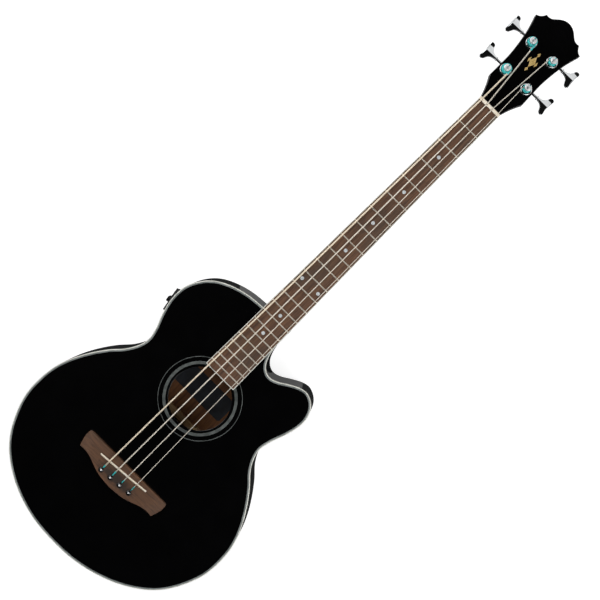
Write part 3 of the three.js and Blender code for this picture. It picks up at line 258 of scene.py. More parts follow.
ACROSS, LENGTHWISE = 0, 1
board_rosewood = wood("oiled_rosewood_along_the_neck", "rosewood", "422a19", "80573a", 3.2, LENGTHWISE,
                      roughness=0.5, patch="47392c")
bridge_rosewood = wood("oiled_rosewood_across_the_top", "rosewood", "422b1a", "6f4a2f", 3.6, ACROSS,
                       roughness=0.5, pore=0.3)
spruce = wood("sanded_spruce", "spruce", "b58d5a", "dcc08f", 2.0, LENGTHWISE, roughness=0.7, pore=0.08)
brace_spruce = wood("sanded_spruce_across", "spruce", "b98f5c", "dfc394", 2.0, ACROSS, roughness=0.7,
                    pore=0.08)
inner_wood = wood("bare_mahogany", "inner_wood", "603716", "8f5b2b", 4.0, LENGTHWISE, roughness=0.65,
                  pore=0.45)
block_wood = wood("bare_mahogany_blocks", "inner_wood", "7a5230", "a6784a", 4.0, ACROSS, roughness=0.7)
print("woods made")

# %% [markdown]
# ## Plastics, bone and pearl
# The white edging is celluloid, the rings round the soundhole are grey plastic, the nut and the saddle are
# bleached bone and the position dots are imitation pearl. They are all smooth and polished, so the work is
# in slight clouding, because an even colour is what makes plastic look drawn rather than made.

# %% Clouded smooth materials


def clouded(name, slot, first, second, cloud_mm, low, high, detail=3.0, **sockets):
    """Polished material whose tone drifts between two colours, with roughness between low and high."""
    material = new_finish(name, slot, **sockets)
    place = add_node(material, "ShaderNodeTexCoord")
    cloud = add_node(material, "ShaderNodeTexNoise",
                     {"Vector": place.outputs["Object"], "Scale": per_metre(cloud_mm), "Detail": detail})
    drift = add_node(material, "ShaderNodeMapRange",
                     {"Value": cloud.outputs["Fac"], "From Min": 0.35, "From Max": 0.65})
    tone = add_node(material, "ShaderNodeMix",
                    {FACTOR: drift.outputs["Result"], FIRST: hex_colour(first), SECOND: hex_colour(second)},
                    data_type="RGBA")
    feed(material, tone.outputs[MIXED], "Base Color")
    rub = add_node(material, "ShaderNodeMapRange",
                   {"Value": cloud.outputs["Fac"], "To Min": low, "To Max": high})
    feed(material, rub.outputs["Result"], "Roughness")
    return material


def moulded(name, slot, colour, worn, grit_mm, depth, low, high):
    """Moulded plastic: a clouded colour with the fine grit that a spark-eroded mould leaves."""
    material = clouded(name, slot, colour, worn, 12, low, high)
    place = add_node(material, "ShaderNodeTexCoord")
    grit = add_node(material, "ShaderNodeTexNoise",
                    {"Vector": place.outputs["Object"], "Scale": per_metre(grit_mm), "Detail": 1.0})
    relief = add_node(material, "ShaderNodeBump",
                      {"Height": grit.outputs["Fac"], "Strength": 0.3, "Distance": depth})
    feed(material, relief.outputs["Normal"], "Normal")
    return material


edging = clouded("white_celluloid", "ivory_binding", "dcdcd2", "efefe6", 25, 0.15, 0.3)
purfling_grey = clouded("grey_purfling", "ring_inlay", "757b79", "8f9593", 18, 0.2, 0.35)
ring_grey = clouded("grey_ring_plastic", "ring_inlay", "4d5150", "676c6a", 9, 0.15, 0.3, Coat_Weight=0.5)
bone = clouded("bleached_bone", "bone", "faebd0", "fff7e9", 6, 0.3, 0.45)
pearl = clouded("imitation_pearl", "ring_inlay", "c6d0d6", "f4f7f7", 2.2, 0.12, 0.25, detail=6.0)
white_dot = clouded("white_plastic_dot", "bone", "e6e9ea", "fbfcfc", 4, 0.2, 0.3)
pin_plastic = moulded("moulded_black_plastic", "black_plastic", "060607", "0e0e10", 0.9, 0.00003, 0.16, 0.28)
panel_plastic = moulded("grained_black_plastic", "black_plastic", "101012", "1c1c1f", 0.7, 0.00008, 0.42, 0.6)
paper = moulded("dark_paper_label", "inner_wood", "1e2126", "2c3037", 0.8, 0.00003, 0.7, 0.85)
print("smooth finishes made, such as", edging.name)

# %% [markdown]
# ## Metals
# The tuners are plated steel, the frets are nickel silver polished along their crowns, and the strings are
# wound: a round wire laid in tight turns round a core. Wound strings catch light as a row of fine lines, so
# their pattern follows the length of the string, which each string carries as an attribute called along.

# %% Plated, brushed and wound metal


def metal(name, slot, first, second, mark_mm, low, high):
    """Metal with faint marks of wiping and polishing, which change only its roughness and tone a little."""
    return clouded(name, slot, first, second, mark_mm, low, high, Metallic=1.0)


def wound_wire(name, slot, first, second, pitch_mm, roughness, metallic):
    """Round wire in close turns: bands across the string, drawn coarser than the real wire to show; the
    lighter colour of each band is a painted highlight on the turn, the bump the turns' real relief.
    """
    material = new_finish(name, slot, Roughness=roughness, Metallic=metallic)
    length = add_node(material, "ShaderNodeAttribute", attribute_name="along")
    turns = add_node(material, "ShaderNodeMath",
                     {0: length.outputs["Fac"], 1: math.tau / pitch_mm}, operation="MULTIPLY")
    wave = add_node(material, "ShaderNodeMath", {0: turns.outputs[0]}, operation="SINE")
    band = add_node(material, "ShaderNodeMapRange", {"Value": wave.outputs[0], "From Min": -1.0})
    # Painted highlight: the second, lighter colour stands for the light that each turn catches.
    tone = add_node(material, "ShaderNodeMix",
                    {FACTOR: band.outputs["Result"], FIRST: hex_colour(first), SECOND: hex_colour(second)},
                    data_type="RGBA")
    feed(material, tone.outputs[MIXED], "Base Color")
    relief = add_node(material, "ShaderNodeBump",
                      {"Height": band.outputs["Result"], "Strength": 0.3, "Distance": pitch_mm * MM / 8})
    feed(material, relief.outputs["Normal"], "Normal")
    return material


chrome = metal("chrome_plate", "chrome", "e4e7e8", "f2f4f5", 14, 0.03, 0.1)
worn_chrome = metal("worn_chrome_plate", "chrome", "eef0f1", "fcfdfd", 5, 0.52, 0.62)
nickel_silver = metal("nickel_silver_frets", "steel", "e6dfd1", "f8f1e3", 5, 0.42, 0.54)
brass = metal("turned_brass", "chrome", "b08d4c", "cfae6c", 3, 0.2, 0.35)
plain_steel = metal("drawn_steel", "steel", "8d8f90", "a9abac", 6, 0.3, 0.45)
gold_leaf = metal("gold_leaf_inlay", "string_wire", "d0ae66", "efd699", 1.6, 0.58, 0.7)
bronze_wire = wound_wire("wound_bronze_string", "string_wire", "e2cfb0", "fff3e0", 0.9, 0.42, 0.5)
nickel_wire = wound_wire("wound_nickel_string", "string_wire", "c9c1b3", "f4ecde", 0.8, 0.42, 0.5)
silk = wound_wire("teal_silk_wrap", "string_wire", "0cb6ba", "62ece7", 0.7, 0.6, 0.0)
print("metals made")

# %% [markdown]
# ## From a bmesh to a finished piece
# A bmesh is Blender's editable mesh in memory. Each piece is shaped there, in millimetres, and then one
# function merges doubles, turns the faces outwards, marks hard edges, puts it into the guitar and makes it
# ride on its body. Small building blocks come next: a slab on an outline, a spun profile, a swept section,
# a loft through rings, and a boolean that carves one shape with others.

# %% Finish a piece
WELD = 0.002


def loose_object(bm, name):
    """An object in the scene with the shape of a bmesh, which is used up."""
    mesh = bpy.data.meshes.new(name)
    bm.to_mesh(mesh)
    bm.free()
    made = bpy.data.objects.new(name, mesh)
    scene.collection.objects.link(made)
    return made


def piece(bm, name, *finishes, place=LAID, body="instrument", stands_for=(), crisp=35):
    """Turns a bmesh into an object of the guitar, hard-edged where faces meet at more than crisp degrees."""
    bmesh.ops.remove_doubles(bm, verts=bm.verts, dist=WELD)
    bmesh.ops.recalc_face_normals(bm, faces=bm.faces)
    for face in bm.faces:
        face.smooth = True
    for edge in bm.edges:
        edge.smooth = edge.calc_face_angle(0) < math.radians(crisp)
    bm.transform(place)
    made = loose_object(bm, name)
    for finish in finishes:
        made.data.materials.append(finish)
    # Large flat faces keep their own direction where they meet small rounded ones.
    shading = made.modifiers.new("shading", "WEIGHTED_NORMAL")
    shading.keep_sharp = True
    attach(made, body)
    if stands_for:
        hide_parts(*stands_for)


print("corners nearer than", WELD, "mm become one")

# %% Slabs and turned shapes


def level(height, y):
    """A height that may be a function of y."""
    return height(y) if callable(height) else height


def only(kind, made):
    """The vertices or the edges among what an extrusion made."""
    return [new for new in made["geom"] if isinstance(new, kind)]


def slab(corners, low, high):
    """An upright slab on a closed plan line."""
    bm = bmesh.new()
    bottom = bm.faces.new([bm.verts.new((corner.x, corner.y, level(low, corner.y))) for corner in corners])
    made = bmesh.ops.extrude_face_region(bm, geom=[bottom])
    for vert in only(bmesh.types.BMVert, made):
        vert.co.z = level(high, vert.co.y)
    bmesh.ops.recalc_face_normals(bm, faces=bm.faces)
    return bm


def spun(profile, steps=64):
    """A turned shape about Z from pairs of radius and height."""
    bm = bmesh.new()
    verts = [bm.verts.new((radius, 0, height)) for radius, height in profile]
    edges = [bm.edges.new(pair) for pair in zip(verts, verts[1:])]
    bmesh.ops.spin(bm, geom=verts + edges, cent=(0, 0, 0), axis=(0, 0, 1), angle=math.tau, steps=steps,
                   use_merge=True)
    bmesh.ops.remove_doubles(bm, verts=bm.verts, dist=WELD)
    bmesh.ops.recalc_face_normals(bm, faces=bm.faces)
    return bm


print("slabs and turned shapes can be made")

# %% Bars, boxes and several shapes in one


def cylinder(radius, low, high, place=Matrix(), steps=48):
    """A round bar, mostly used to cut holes."""
    bm = bmesh.new()
    middle = Matrix.Translation((0, 0, (low + high) / 2))
    bmesh.ops.create_cone(bm, cap_ends=True, segments=steps, radius1=radius, radius2=radius,
                          depth=high - low, matrix=place @ middle)
    return bm


def block(low, high, place=Matrix()):
    """A box between two corners, used to cut slots and pockets."""
    bm = bmesh.new()
    low, high = Vector(low), Vector(high)
    size = Matrix.Diagonal((*(high - low), 1))
    bmesh.ops.create_cube(bm, size=1, matrix=place @ Matrix.Translation((low + high) / 2) @ size)
    return bm


def joined(*shapes):
    """Several shapes in one bmesh."""
    whole = bmesh.new()
    for bm in shapes:
        part = bpy.data.meshes.new("part")
        bm.to_mesh(part)
        bm.free()
        whole.from_mesh(part)
        bpy.data.meshes.remove(part)
    return whole


print("bars and boxes can be made")

# %% Sweep a section along a path


def edge_loop(bm, points):
    """New vertices at the points, joined into a closed loop of edges."""
    verts = [bm.verts.new(point) for point in points]
    return [bm.edges.new((vert, verts[i - 1])) for i, vert in enumerate(verts)]


def stations(path, up, closed):
    """A matrix at each point of a path: X to its side, Y up and Z along it."""
    places = []
    count = len(path)
    side = None
    for i, point in enumerate(path):
        before = path[i - 1] if i or closed else point
        after = path[(i + 1) % count] if i + 1 < count or closed else point
        along = (after - before).normalized()
        if up:
            side = up.cross(along).normalized()
        else:
            side = side or along.orthogonal()
            side = (side - along * side.dot(along)).normalized()
        turned = Matrix((side, along.cross(side), along)).transposed().to_4x4()
        places.append(Matrix.Translation(point) @ turned)
    return places


def swept(path, section, up=None, closed=False, sizes=None):
    """A section carried along a path: its edge loop is extruded and moved from place to place."""
    bm = bmesh.new()
    length = bm.verts.layers.float.new("along")
    places = stations(path, up, closed)
    sizes = sizes or [1] * len(path)
    places = [place @ Matrix.Scale(size, 4) for place, size in zip(places, sizes)]
    if closed:
        places.append(places[0])
    edges = edge_loop(bm, [places[0] @ Vector((x, y, 0)) for x, y in section])
    covered = 0
    for before, after in zip(places, places[1:]):
        covered += (after.translation - before.translation).length
        made = bmesh.ops.extrude_edge_only(bm, edges=edges)
        verts = only(bmesh.types.BMVert, made)
        edges = only(bmesh.types.BMEdge, made)
        bmesh.ops.transform(bm, matrix=after @ before.inverted(), verts=verts)
        for vert in verts:
            vert[length] = covered
    if closed:
        bmesh.ops.remove_doubles(bm, verts=bm.verts, dist=WELD)
    bmesh.ops.holes_fill(bm, edges=[edge for edge in bm.edges if edge.is_boundary])
    return bm


print("sections can be swept")

# %% Loft through rings


def lofted(rings):
    """Skin over closed rings of points, bridged from one to the next and filled at both ends."""
    bm = bmesh.new()
    loops = [edge_loop(bm, ring) for ring in rings]
    for first, second in zip(loops, loops[1:]):
        bmesh.ops.bridge_loops(bm, edges=first + second)
    bmesh.ops.holes_fill(bm, edges=[edge for edge in bm.edges if edge.is_boundary])
    bmesh.ops.recalc_face_normals(bm, faces=bm.faces)
    return bm


def round_section(radius, sides=12):
    """Points of a circle for a swept wire."""
    turns = [math.tau * i / sides for i in range(sides)]
    return [(radius * math.cos(turn), radius * math.sin(turn)) for turn in turns]


print("a round wire is swept with", len(round_section(1)), "sides")

# %% Carve with booleans


def evaluated(holder):
    """The mesh of an object with its modifiers, as a bmesh; the object is removed."""
    bpy.context.view_layer.update()
    result = holder.evaluated_get(bpy.context.evaluated_depsgraph_get())
    bm = bmesh.new()
    bm.from_mesh(result.to_mesh())
    result.to_mesh_clear()
    bpy.data.objects.remove(holder)
    return bm


def carved(bm, *cutters, operation="DIFFERENCE"):
    """A shape with each cutter taken away from it, or joined to it."""
    holder = loose_object(bm, "shape")
    tools = [loose_object(cutter, "cutter") for cutter in cutters]
    for tool in tools:
        cut = holder.modifiers.new("cut", "BOOLEAN")
        cut.operation = operation
        cut.solver = "EXACT"
        cut.object = tool
    result = evaluated(holder)
    for tool in tools:
        bpy.data.objects.remove(tool)
    return result


print("shapes can be carved and joined")

# %% Copies of frame pieces with eased edges


def merged_copy(node, place=LAID):
    """A frame piece as a bmesh in the given frame: its triangles joined, flat faces whole again."""
    bm = bmesh.new()
    bm.from_mesh(frame["nodes"][node].data)
    bm.transform(place.inverted())
    bmesh.ops.remove_doubles(bm, verts=bm.verts, dist=WELD)
    bmesh.ops.dissolve_limit(bm, angle_limit=math.radians(0.6), verts=bm.verts, edges=bm.edges)
    return bm


def eased(bm, width, sharp=40, segments=2, chosen=None):
    """Rounds the hard edges of a shape, as sanding or moulding does."""
    hard = [edge for edge in bm.edges if edge.calc_face_angle(0) > math.radians(sharp)]
    if chosen:
        hard = [edge for edge in hard if chosen(edge)]
    bmesh.ops.bevel(bm, geom=hard, offset=width, segments=segments, profile=0.5, material=-1,
                    affect="EDGES", clamp_overlap=True)
    return bm


def dressed(node, finish, width, body="instrument", sharp=40):
    """A frame piece shown as its merged copy with eased edges."""
    bm = eased(merged_copy(node), width, sharp=sharp)
    piece(bm, f"{node}_finished", finish, body=body, stands_for=[node])


print("pieces of the frame can be copied")

# %% [markdown]
# ## The outline of the box
# The back is a flat plate whose plan is the outline of the whole body, drawn with as few points as it
# needs. A smooth line through them gives shading without facets. Each stretch becomes a Bezier curve whose
# handles follow the direction of the outline, and corners that turn hard, as where the neck joins, stay.

# %% Corners of the flat back


def flat_corners(node, place=LAID):
    """Corners round the upper face of a frame piece, in order, seen in plan; holes are passed over."""
    bm = merged_copy(node, place)
    upper = {face for face in bm.faces if face.normal.z > 0.999}
    rim_edges = {edge for edge in bm.edges if sum(face in upper for face in edge.link_faces) == 1}
    start = max((vert for edge in rim_edges for vert in edge.verts), key=lambda vert: vert.co.y)
    ring = [start]
    while True:
        ahead = next((edge for edge in ring[-1].link_edges if edge in rim_edges), None)
        if not ahead:
            break
        rim_edges.remove(ahead)
        ring.append(ahead.other_vert(ring[-1]))
    corners = [Vector((vert.co.x, vert.co.y, 0)) for vert in ring[:-1]]
    bm.free()
    area = sum(a.x * b.y - b.x * a.y for a, b in zip(corners, corners[1:] + corners[:1]))
    return corners if area > 0 else corners[::-1]


back_corners = flat_corners("back_plate")
print("corners of the back:", len(back_corners))

# %% A smooth line through the corners


def as_on_a_circle(other_end, chord):
    """Direction at one end of an arc whose direction at the other end is known: mirrored over the chord."""
    return 2 * other_end.dot(chord) * chord - other_end if other_end else chord


def smooth_outline(corners, spacing, hard_turn):
    """A closed line through the corners, curved where they turn by less than the hard turn."""
    count = len(corners)
    ways = []
    for i, here in enumerate(corners):
        before = here - corners[i - 1]
        after = corners[(i + 1) % count] - here
        gentle = before.normalized() * after.length + after.normalized() * before.length
        ways.append(None if before.angle(after) > math.radians(hard_turn) else gentle.normalized())
    line = []
    for i, here in enumerate(corners):
        there = corners[(i + 1) % count]
        chord = (there - here).normalized()
        # Hard corners have no way of their own, so the curve ends there as a circle would.
        leave = ways[i] or as_on_a_circle(ways[(i + 1) % count], chord)
        arrive = ways[(i + 1) % count] or as_on_a_circle(ways[i], chord)
        reach = (there - here).length / 3
        steps = 2 + int((there - here).length / spacing)
        line += interpolate_bezier(here, here + leave * reach, there - arrive * reach, there, steps)[:-1]
    return line


def inset_line(line, inset):
    """A closed plan line, run anticlockwise, moved inwards; a mitre reaches at most twice the inset."""
    moved = []
    for i, here in enumerate(line):
        before = (here - line[i - 1]).normalized()
        after = (line[(i + 1) % len(line)] - here).normalized()
        along = (before + after).normalized()
        inward = Vector((-along.y, along.x, 0))
        moved.append(here + inward * inset / max(along.dot(before), 1 / 2))
    return moved


rim = smooth_outline(back_corners, spacing=5, hard_turn=42)
print(f"outline of the box: {len(rim)} points")

# %% [markdown]
# ## The soundboard
# The top is 3.2 mm of spruce with black lacquer outside and bare wood inside, so its underside gets a
# second material. The soundhole, the two grooves for the rings and the holes for the bridge pins are carved
# out of it, and the edge of the hole is rounded over by sanding.

# %% Sizes of the top
TOP_THICKNESS = 3.2
BINDING_WIDTH = 2.2
BINDING_HEIGHT = 6
WHITE_LINE = 1.5
PURFLING_WIDTH = 2.2
HOLE = Vector((2.9, 167.6, 0))
HOLE_RADIUS = 51
# Inner radius and width of each ring, and the width of the black line in its outer edge.
RINGS = {"rosette_inner": (55.2, 5.7, 0.85), "rosette_outer": (66.9, 1.6, 0.5)}
RING_DEPTH = 1.2
HAIRLINE = 0.03
# Cutters reach this far past what they cut.
REACH = 40
print(f"a soundhole {2 * HOLE_RADIUS} mm across in {TOP_THICKNESS} mm of wood")

# %% Strings over saddle and bridge
GAUGES = (2.67, 2.16, 1.65, 1.14)
STRING_NAMES = ("e", "a", "d", "g")
SADDLE_SPACING = 18.9
SADDLE_SLANT = math.radians(4.9)
SADDLE_SETBACK = 1.5
PIN_SETBACK = 19.4
PIN_RADIUS = 2.6
PIN_HOLE_GAP = 0.15
RUN_GAP = 0.25


def string_x(i, spacing):
    """Place of a string across the guitar, counted from the thickest."""
    return (i - (len(GAUGES) - 1) / 2) * spacing


def saddle_y(x):
    """The saddle slants, so that thick strings get a little more length."""
    return x * math.tan(SADDLE_SLANT) - SADDLE_SETBACK


def pin_place(i):
    """Middle of a bridge pin, straight behind where its string crosses the saddle."""
    x = string_x(i, SADDLE_SPACING)
    return Vector((x, saddle_y(x) - PIN_SETBACK, 0))


def pin_cutters():
    """Round hole and string slot at each pin."""
    cutters = []
    for i, gauge in enumerate(GAUGES):
        half = gauge / 2 + RUN_GAP
        front = PIN_RADIUS + 2 * RUN_GAP + gauge
        spot = Matrix.Translation(pin_place(i))
        cutters.append(cylinder(PIN_RADIUS + PIN_HOLE_GAP, -REACH, REACH, spot, steps=24))
        cutters.append(block((-half, 0, -REACH), (half, front, REACH), spot))
    return cutters


print("pins at", [[round(v, 1) for v in pin_place(i).xy] for i in range(len(GAUGES))])

# %% The soundboard


def ring_band(radius, width, low, high, steps=160):
    """A flat ring round the soundhole with square edges."""
    outer = radius + width
    profile = [(radius, low), (outer, low), (outer, high), (radius, high), (radius, low)]
    bm = spun(profile, steps)
    bm.transform(Matrix.Translation(HOLE))
    return bm


def soundboard():
    """The top on its outline, with ring grooves, soundhole and pin holes carved out of it."""
    plan = inset_line(rim, WHITE_LINE + PURFLING_WIDTH + 2 * HAIRLINE)
    plate = slab(plan, -TOP_THICKNESS, 0)
    grooves = [ring_band(radius - HAIRLINE, width + 2 * HAIRLINE, -RING_DEPTH, REACH)
               for radius, width, _ in RINGS.values()]
    hole = cylinder(HOLE_RADIUS, -REACH, REACH, Matrix.Translation(HOLE), steps=128)
    plate = carved(plate, hole, *grooves, *pin_cutters())
    lip = HOLE_RADIUS + 1
    eased(plate, 0.5, segments=3, chosen=lambda edge: all(
        (vert.co - HOLE).xy.length < lip and vert.co.z > -0.1 for vert in edge.verts))
    for face in plate.faces:
        face.material_index = 1 if face.normal.z < -0.9 else 0
    piece(plate, "soundboard_lacquered", lacquer, spruce, stands_for=["soundboard"])


soundboard()

# %% [markdown]
# ## Edging, purfling and rings
# A strip of white celluloid protects the edge of the top. Its outer corner is rounded so that it is soft
# under the arm. A thin grey line, the purfling, lies in a step along its inner side, as deep as the top is
# thick. The rings are inlaid strips of a like grey.
# All are the same idea, a section swept round a line, or spun where the line is a circle.

# %% Edging and purfling round the top
edging_section = [
    (0, -BINDING_HEIGHT), (0, -1.1), (0.12, -0.6), (0.36, -0.24), (0.8, -0.04), (1.1, 0),
    (WHITE_LINE, 0), (WHITE_LINE, -TOP_THICKNESS), (BINDING_WIDTH, -TOP_THICKNESS),
    (BINDING_WIDTH, -BINDING_HEIGHT),
]
UPRIGHT = Vector((0, 0, 1))
piece(swept(rim, edging_section, up=UPRIGHT, closed=True), "top_edging", edging,
      stands_for=["top_binding"])
PROUD = 0.02
purfling_path = inset_line(rim, WHITE_LINE + HAIRLINE)
purfling_foot = HAIRLINE - TOP_THICKNESS
purfling_section = [(0, purfling_foot), (0, PROUD), (PURFLING_WIDTH, PROUD), (PURFLING_WIDTH, purfling_foot)]
piece(swept(purfling_path, purfling_section, up=UPRIGHT, closed=True), "top_purfling", purfling_grey)
print("edging and purfling swept")

# %% The two rings round the soundhole


def ring(name, radius, width, line):
    """A grey strip with a black line outside it; its edges are eased where it was scraped level."""
    edge = 0.12
    outer = radius + width
    grey = outer - line
    profile = [
        (radius, -RING_DEPTH), (outer, -RING_DEPTH), (outer, -edge), (outer - edge, PROUD), (grey, PROUD),
        ((radius + grey) / 2, 0.05), (radius + edge, PROUD), (radius, -edge), (radius, -RING_DEPTH),
    ]
    bm = spun(profile, steps=160)
    for face in bm.faces:
        face.material_index = 1 if face.calc_center_median().xy.length > grey else 0
    bm.transform(Matrix.Translation(HOLE))
    piece(bm, f"{name}_strip", ring_grey, lacquer, stands_for=[name])


for ring_name, ring_sizes in RINGS.items():
    ring(ring_name, *ring_sizes)
print("two rings inlaid")

# %% [markdown]
# ## Ribs and back
# The ribs are two bent strips that meet in a seam at the tail. Each starts as a thin wall of single faces
# on the outline, cut at the seam, and a Solidify modifier gives it its thickness. Solidify can give the
# inner wall the next material, so the inside stays bare wood. Openings for the preamp and the output
# socket are carved after that.

# %% Where the preamp stands, from its knobs' joints
joints = {joint["name"]: joint for joint in frame["joints"]}
PANEL_PROUD = 3
KNOB_DROP = 22.8


def wall_frame():
    """Frame on the bass rib at the preamp: X straight out of the wall, Z up, its zero level with the top."""
    first = Vector(joints["knob_1_turn"]["pos_m"])
    last = Vector(joints["knob_3_turn"]["pos_m"])
    out = Vector(joints["knob_1_turn"]["axis"]).normalized()
    rise = (first - last).normalized()
    turned = Matrix((out, rise.cross(out), rise)).transposed().to_4x4()
    origin = first - out * PANEL_PROUD * MM + rise * KNOB_DROP * MM
    return Matrix.Translation(origin) @ turned @ Matrix.Scale(MM, 4)


WALL = wall_frame()
WALL_IN_MAKER = LAID.inverted() @ WALL
print("preamp at", [round(v) for v in WALL_IN_MAKER.translation])

# %% The ribs
RIB_THICKNESS = 2.4
BACK_THICKNESS = 3
SEAT_GAP = 0.3
TAIL_SHIFT = 7
JACK_LEVEL = -TAIL_DEPTH / 2
JACK_RADIUS = 5.7
HOUSING_HALF = 15
HOUSING_LOW = -75.5
HOUSING_HIGH = -18.5
PREAMP_DEPTH = 60

JACK = Matrix.Translation((TAIL_SHIFT, -TAIL_REACH, JACK_LEVEL)) @ Matrix.Rotation(math.pi / 2, 4, "X")


def rib_wall(keep_bass):
    """One rib as a thin wall of single faces, its faces turned outwards."""
    low = above_back(BACK_THICKNESS + SEAT_GAP)
    bm = bmesh.new()
    edges = edge_loop(bm, [(point.x, point.y, low(point.y)) for point in rim])
    made = bmesh.ops.extrude_edge_only(bm, edges=edges)
    for vert in only(bmesh.types.BMVert, made):
        vert.co.z = -BINDING_HEIGHT - SEAT_GAP / 2
    side = -1 if keep_bass else 1
    seam = (TAIL_SHIFT + side * HAIRLINE, 0, 0)
    geometry = bm.verts[:] + bm.edges[:] + bm.faces[:]
    bmesh.ops.bisect_plane(bm, geom=geometry, plane_co=seam, plane_no=(side, 0, 0), clear_inner=True)
    bm.normal_update()
    widest = max(bm.faces, key=lambda face: abs(face.calc_center_median().x))
    if widest.normal.x * widest.calc_center_median().x < 0:
        bmesh.ops.reverse_faces(bm, faces=bm.faces)
    return bm


def thickened(bm, thickness):
    """A thin wall with its thickness added inwards; the inner wall takes the second material."""
    holder = loose_object(bm, "wall")
    for finish in (lacquer, inner_wood):
        holder.data.materials.append(finish)
    wall = holder.modifiers.new("thickness", "SOLIDIFY")
    wall.thickness = thickness
    wall.offset = -1
    wall.use_even_offset = True
    wall.material_offset = 1
    return evaluated(holder)


def ribs():
    """Both ribs, with the hole for the output socket and, in the bass one, the opening for the preamp."""
    for keep_bass, node in ((True, "side_bass"), (False, "side_treble")):
        wall = thickened(rib_wall(keep_bass), RIB_THICKNESS)
        cutters = [cylinder(JACK_RADIUS + RUN_GAP, -REACH, REACH, JACK)]
        if keep_bass:
            low = (-PREAMP_DEPTH, -HOUSING_HALF - SEAT_GAP, HOUSING_LOW - SEAT_GAP)
            high = (PANEL_PROUD, HOUSING_HALF + SEAT_GAP, HOUSING_HIGH + SEAT_GAP)
            cutters.append(block(low, high, WALL_IN_MAKER))
        piece(carved(wall, *cutters), f"{node}_lacquered", lacquer, inner_wood, stands_for=[node])


ribs()
print("ribs bent and cut")

# %% The back


def back():
    """The flat back: lacquered outside, bare inside, its lower edge rounded."""
    plate = slab(rim, above_back(0), above_back(BACK_THICKNESS))
    eased(plate, 1.0, segments=3, chosen=lambda edge: all(
        vert.co.z < above_back(1)(vert.co.y) for vert in edge.verts))
    plate.normal_update()
    for face in plate.faces:
        face.material_index = 1 if face.normal.z > 0.9 else 0
    piece(plate, "back_lacquered", lacquer, inner_wood, stands_for=["back_plate"])


back()
print("back closed")

# %% [markdown]
# ## Inside the box
# Through the soundhole the camera sees the back, one of its braces and a bare label. The braces and blocks
# come from the frame as they are and only get eased edges. Linings are strips with a saw cut every few
# millimetres, so that they bend; we sweep them along the ribs and let a material show the cuts.

# %% Braces and blocks
BRACE_EASE = 0.8
for node in ("x_brace_bass", "x_brace_treble", "upper_brace", "tone_brace",
             "back_brace_1", "back_brace_2", "back_brace_3"):
    dressed(node, brace_spruce, width=BRACE_EASE)
for node in ("neck_block", "tail_block", "bridge_plate"):
    dressed(node, block_wood, width=0.5)
dressed("truss_rod", plain_steel, width=0.2)
dressed("pickup_strip", plain_steel, width=0.1)
print("inside pieces dressed")

# %% Kerfed linings
KERF_SPACING = 7
LINING_WIDTH = 6
LINING_HEIGHT = 13


def kerfed_wood():
    """Soft wood with saw cuts across it: dark lines at an even spacing along the strip."""
    material = new_finish("kerfed_lining_wood", "inner_wood", Roughness=0.75)
    length = add_node(material, "ShaderNodeAttribute", attribute_name="along")
    place = add_node(material, "ShaderNodeMath",
                     {0: length.outputs["Fac"], 1: float(KERF_SPACING)}, operation="PINGPONG")
    cut = add_node(material, "ShaderNodeMapRange",
                   {"Value": place.outputs[0], "From Min": 0.0, "From Max": 0.6})
    points = add_node(material, "ShaderNodeTexCoord")
    fibre = add_node(material, "ShaderNodeTexNoise",
                     {"Vector": points.outputs["Object"], "Scale": per_metre(3), "Detail": 4.0})
    tone = add_node(material, "ShaderNodeMix",
                    {FACTOR: fibre.outputs["Fac"], FIRST: hex_colour("8a6238"),
                     SECOND: hex_colour("b88d5c")}, data_type="RGBA")
    sawn = add_node(material, "ShaderNodeMix",
                    {FACTOR: cut.outputs["Result"], FIRST: hex_colour("1c120a"),
                     SECOND: tone.outputs[MIXED]}, data_type="RGBA")
    feed(material, sawn.outputs[MIXED], "Base Color")
    relief = add_node(material, "ShaderNodeBump",
                      {"Height": cut.outputs["Result"], "Strength": 0.8, "Distance": 0.0008})
    feed(material, relief.outputs["Normal"], "Normal")
    return material


def lining(node, start, height, level_at=lambda y: 0):
    """A strip inside the ribs with a bevelled inner face, from a level that may slope with the back."""
    section = [(0, start), (0, start + height), (LINING_WIDTH / 3, start + height),
               (LINING_WIDTH, start + height / 2), (LINING_WIDTH, start)]
    bm = swept(inset_line(rim, RIB_THICKNESS + SEAT_GAP), section, up=UPRIGHT, closed=True)
    for vert in bm.verts:
        vert.co.z += level_at(vert.co.y)
    piece(bm, f"{node}_kerfed", lining_wood, stands_for=[node])


lining_wood = kerfed_wood()
lining("top_lining", -TOP_THICKNESS - SEAT_GAP, -LINING_HEIGHT)
lining("back_lining", BACK_THICKNESS + SEAT_GAP, LINING_HEIGHT, above_back(0))
print("linings swept")

# %% A bare label on the back
LABEL_MIDDLE = Vector((-2, 168))
LABEL_HALF = Vector((53, 20.5))
LABEL_CUT = 3


def label():
    """Dark paper with cut corners, glued flat to the inside of the back."""
    x, y = LABEL_HALF
    cut = LABEL_CUT
    corners = [(cut - x, -y), (x - cut, -y), (x, cut - y), (x, y - cut),
               (x - cut, y), (cut - x, y), (-x, y - cut), (-x, cut - y)]
    plan = [Vector((LABEL_MIDDLE.x + px, LABEL_MIDDLE.y + py, 0)) for px, py in corners]
    sheet = slab(plan, above_back(BACK_THICKNESS + 0.05), above_back(BACK_THICKNESS + 0.3))
    piece(sheet, "inner_label", paper)


label()
print("label glued in")

# %% [markdown]
# ## Fingerboard, frets and dots
# The board is a long wedge of rosewood with a crowned top, bound in white. In the frame its frets are plain
# ridges, so the board is made again here: the wood, the white edging, the dots set level into the wood and
# 22 frets, each a half-round crown that follows the curve of the board and is rounded at its ends.

# %% The crowned board
NUT_HALF = 21.25
BOARD_END_HALF = 30.6
BOARD_TAIL = 12.9
BOARD_END = fret_y(FRET_COUNT) - BOARD_TAIL
BOARD_BASE = 0.3
BOARD_THICKNESS = 6.5
BOARD_RADIUS = 305
BOARD_EDGING = 1.5
BOARD_HEAD_END = SCALE_LENGTH - SEAT_GAP
CROWN_STEPS = 24


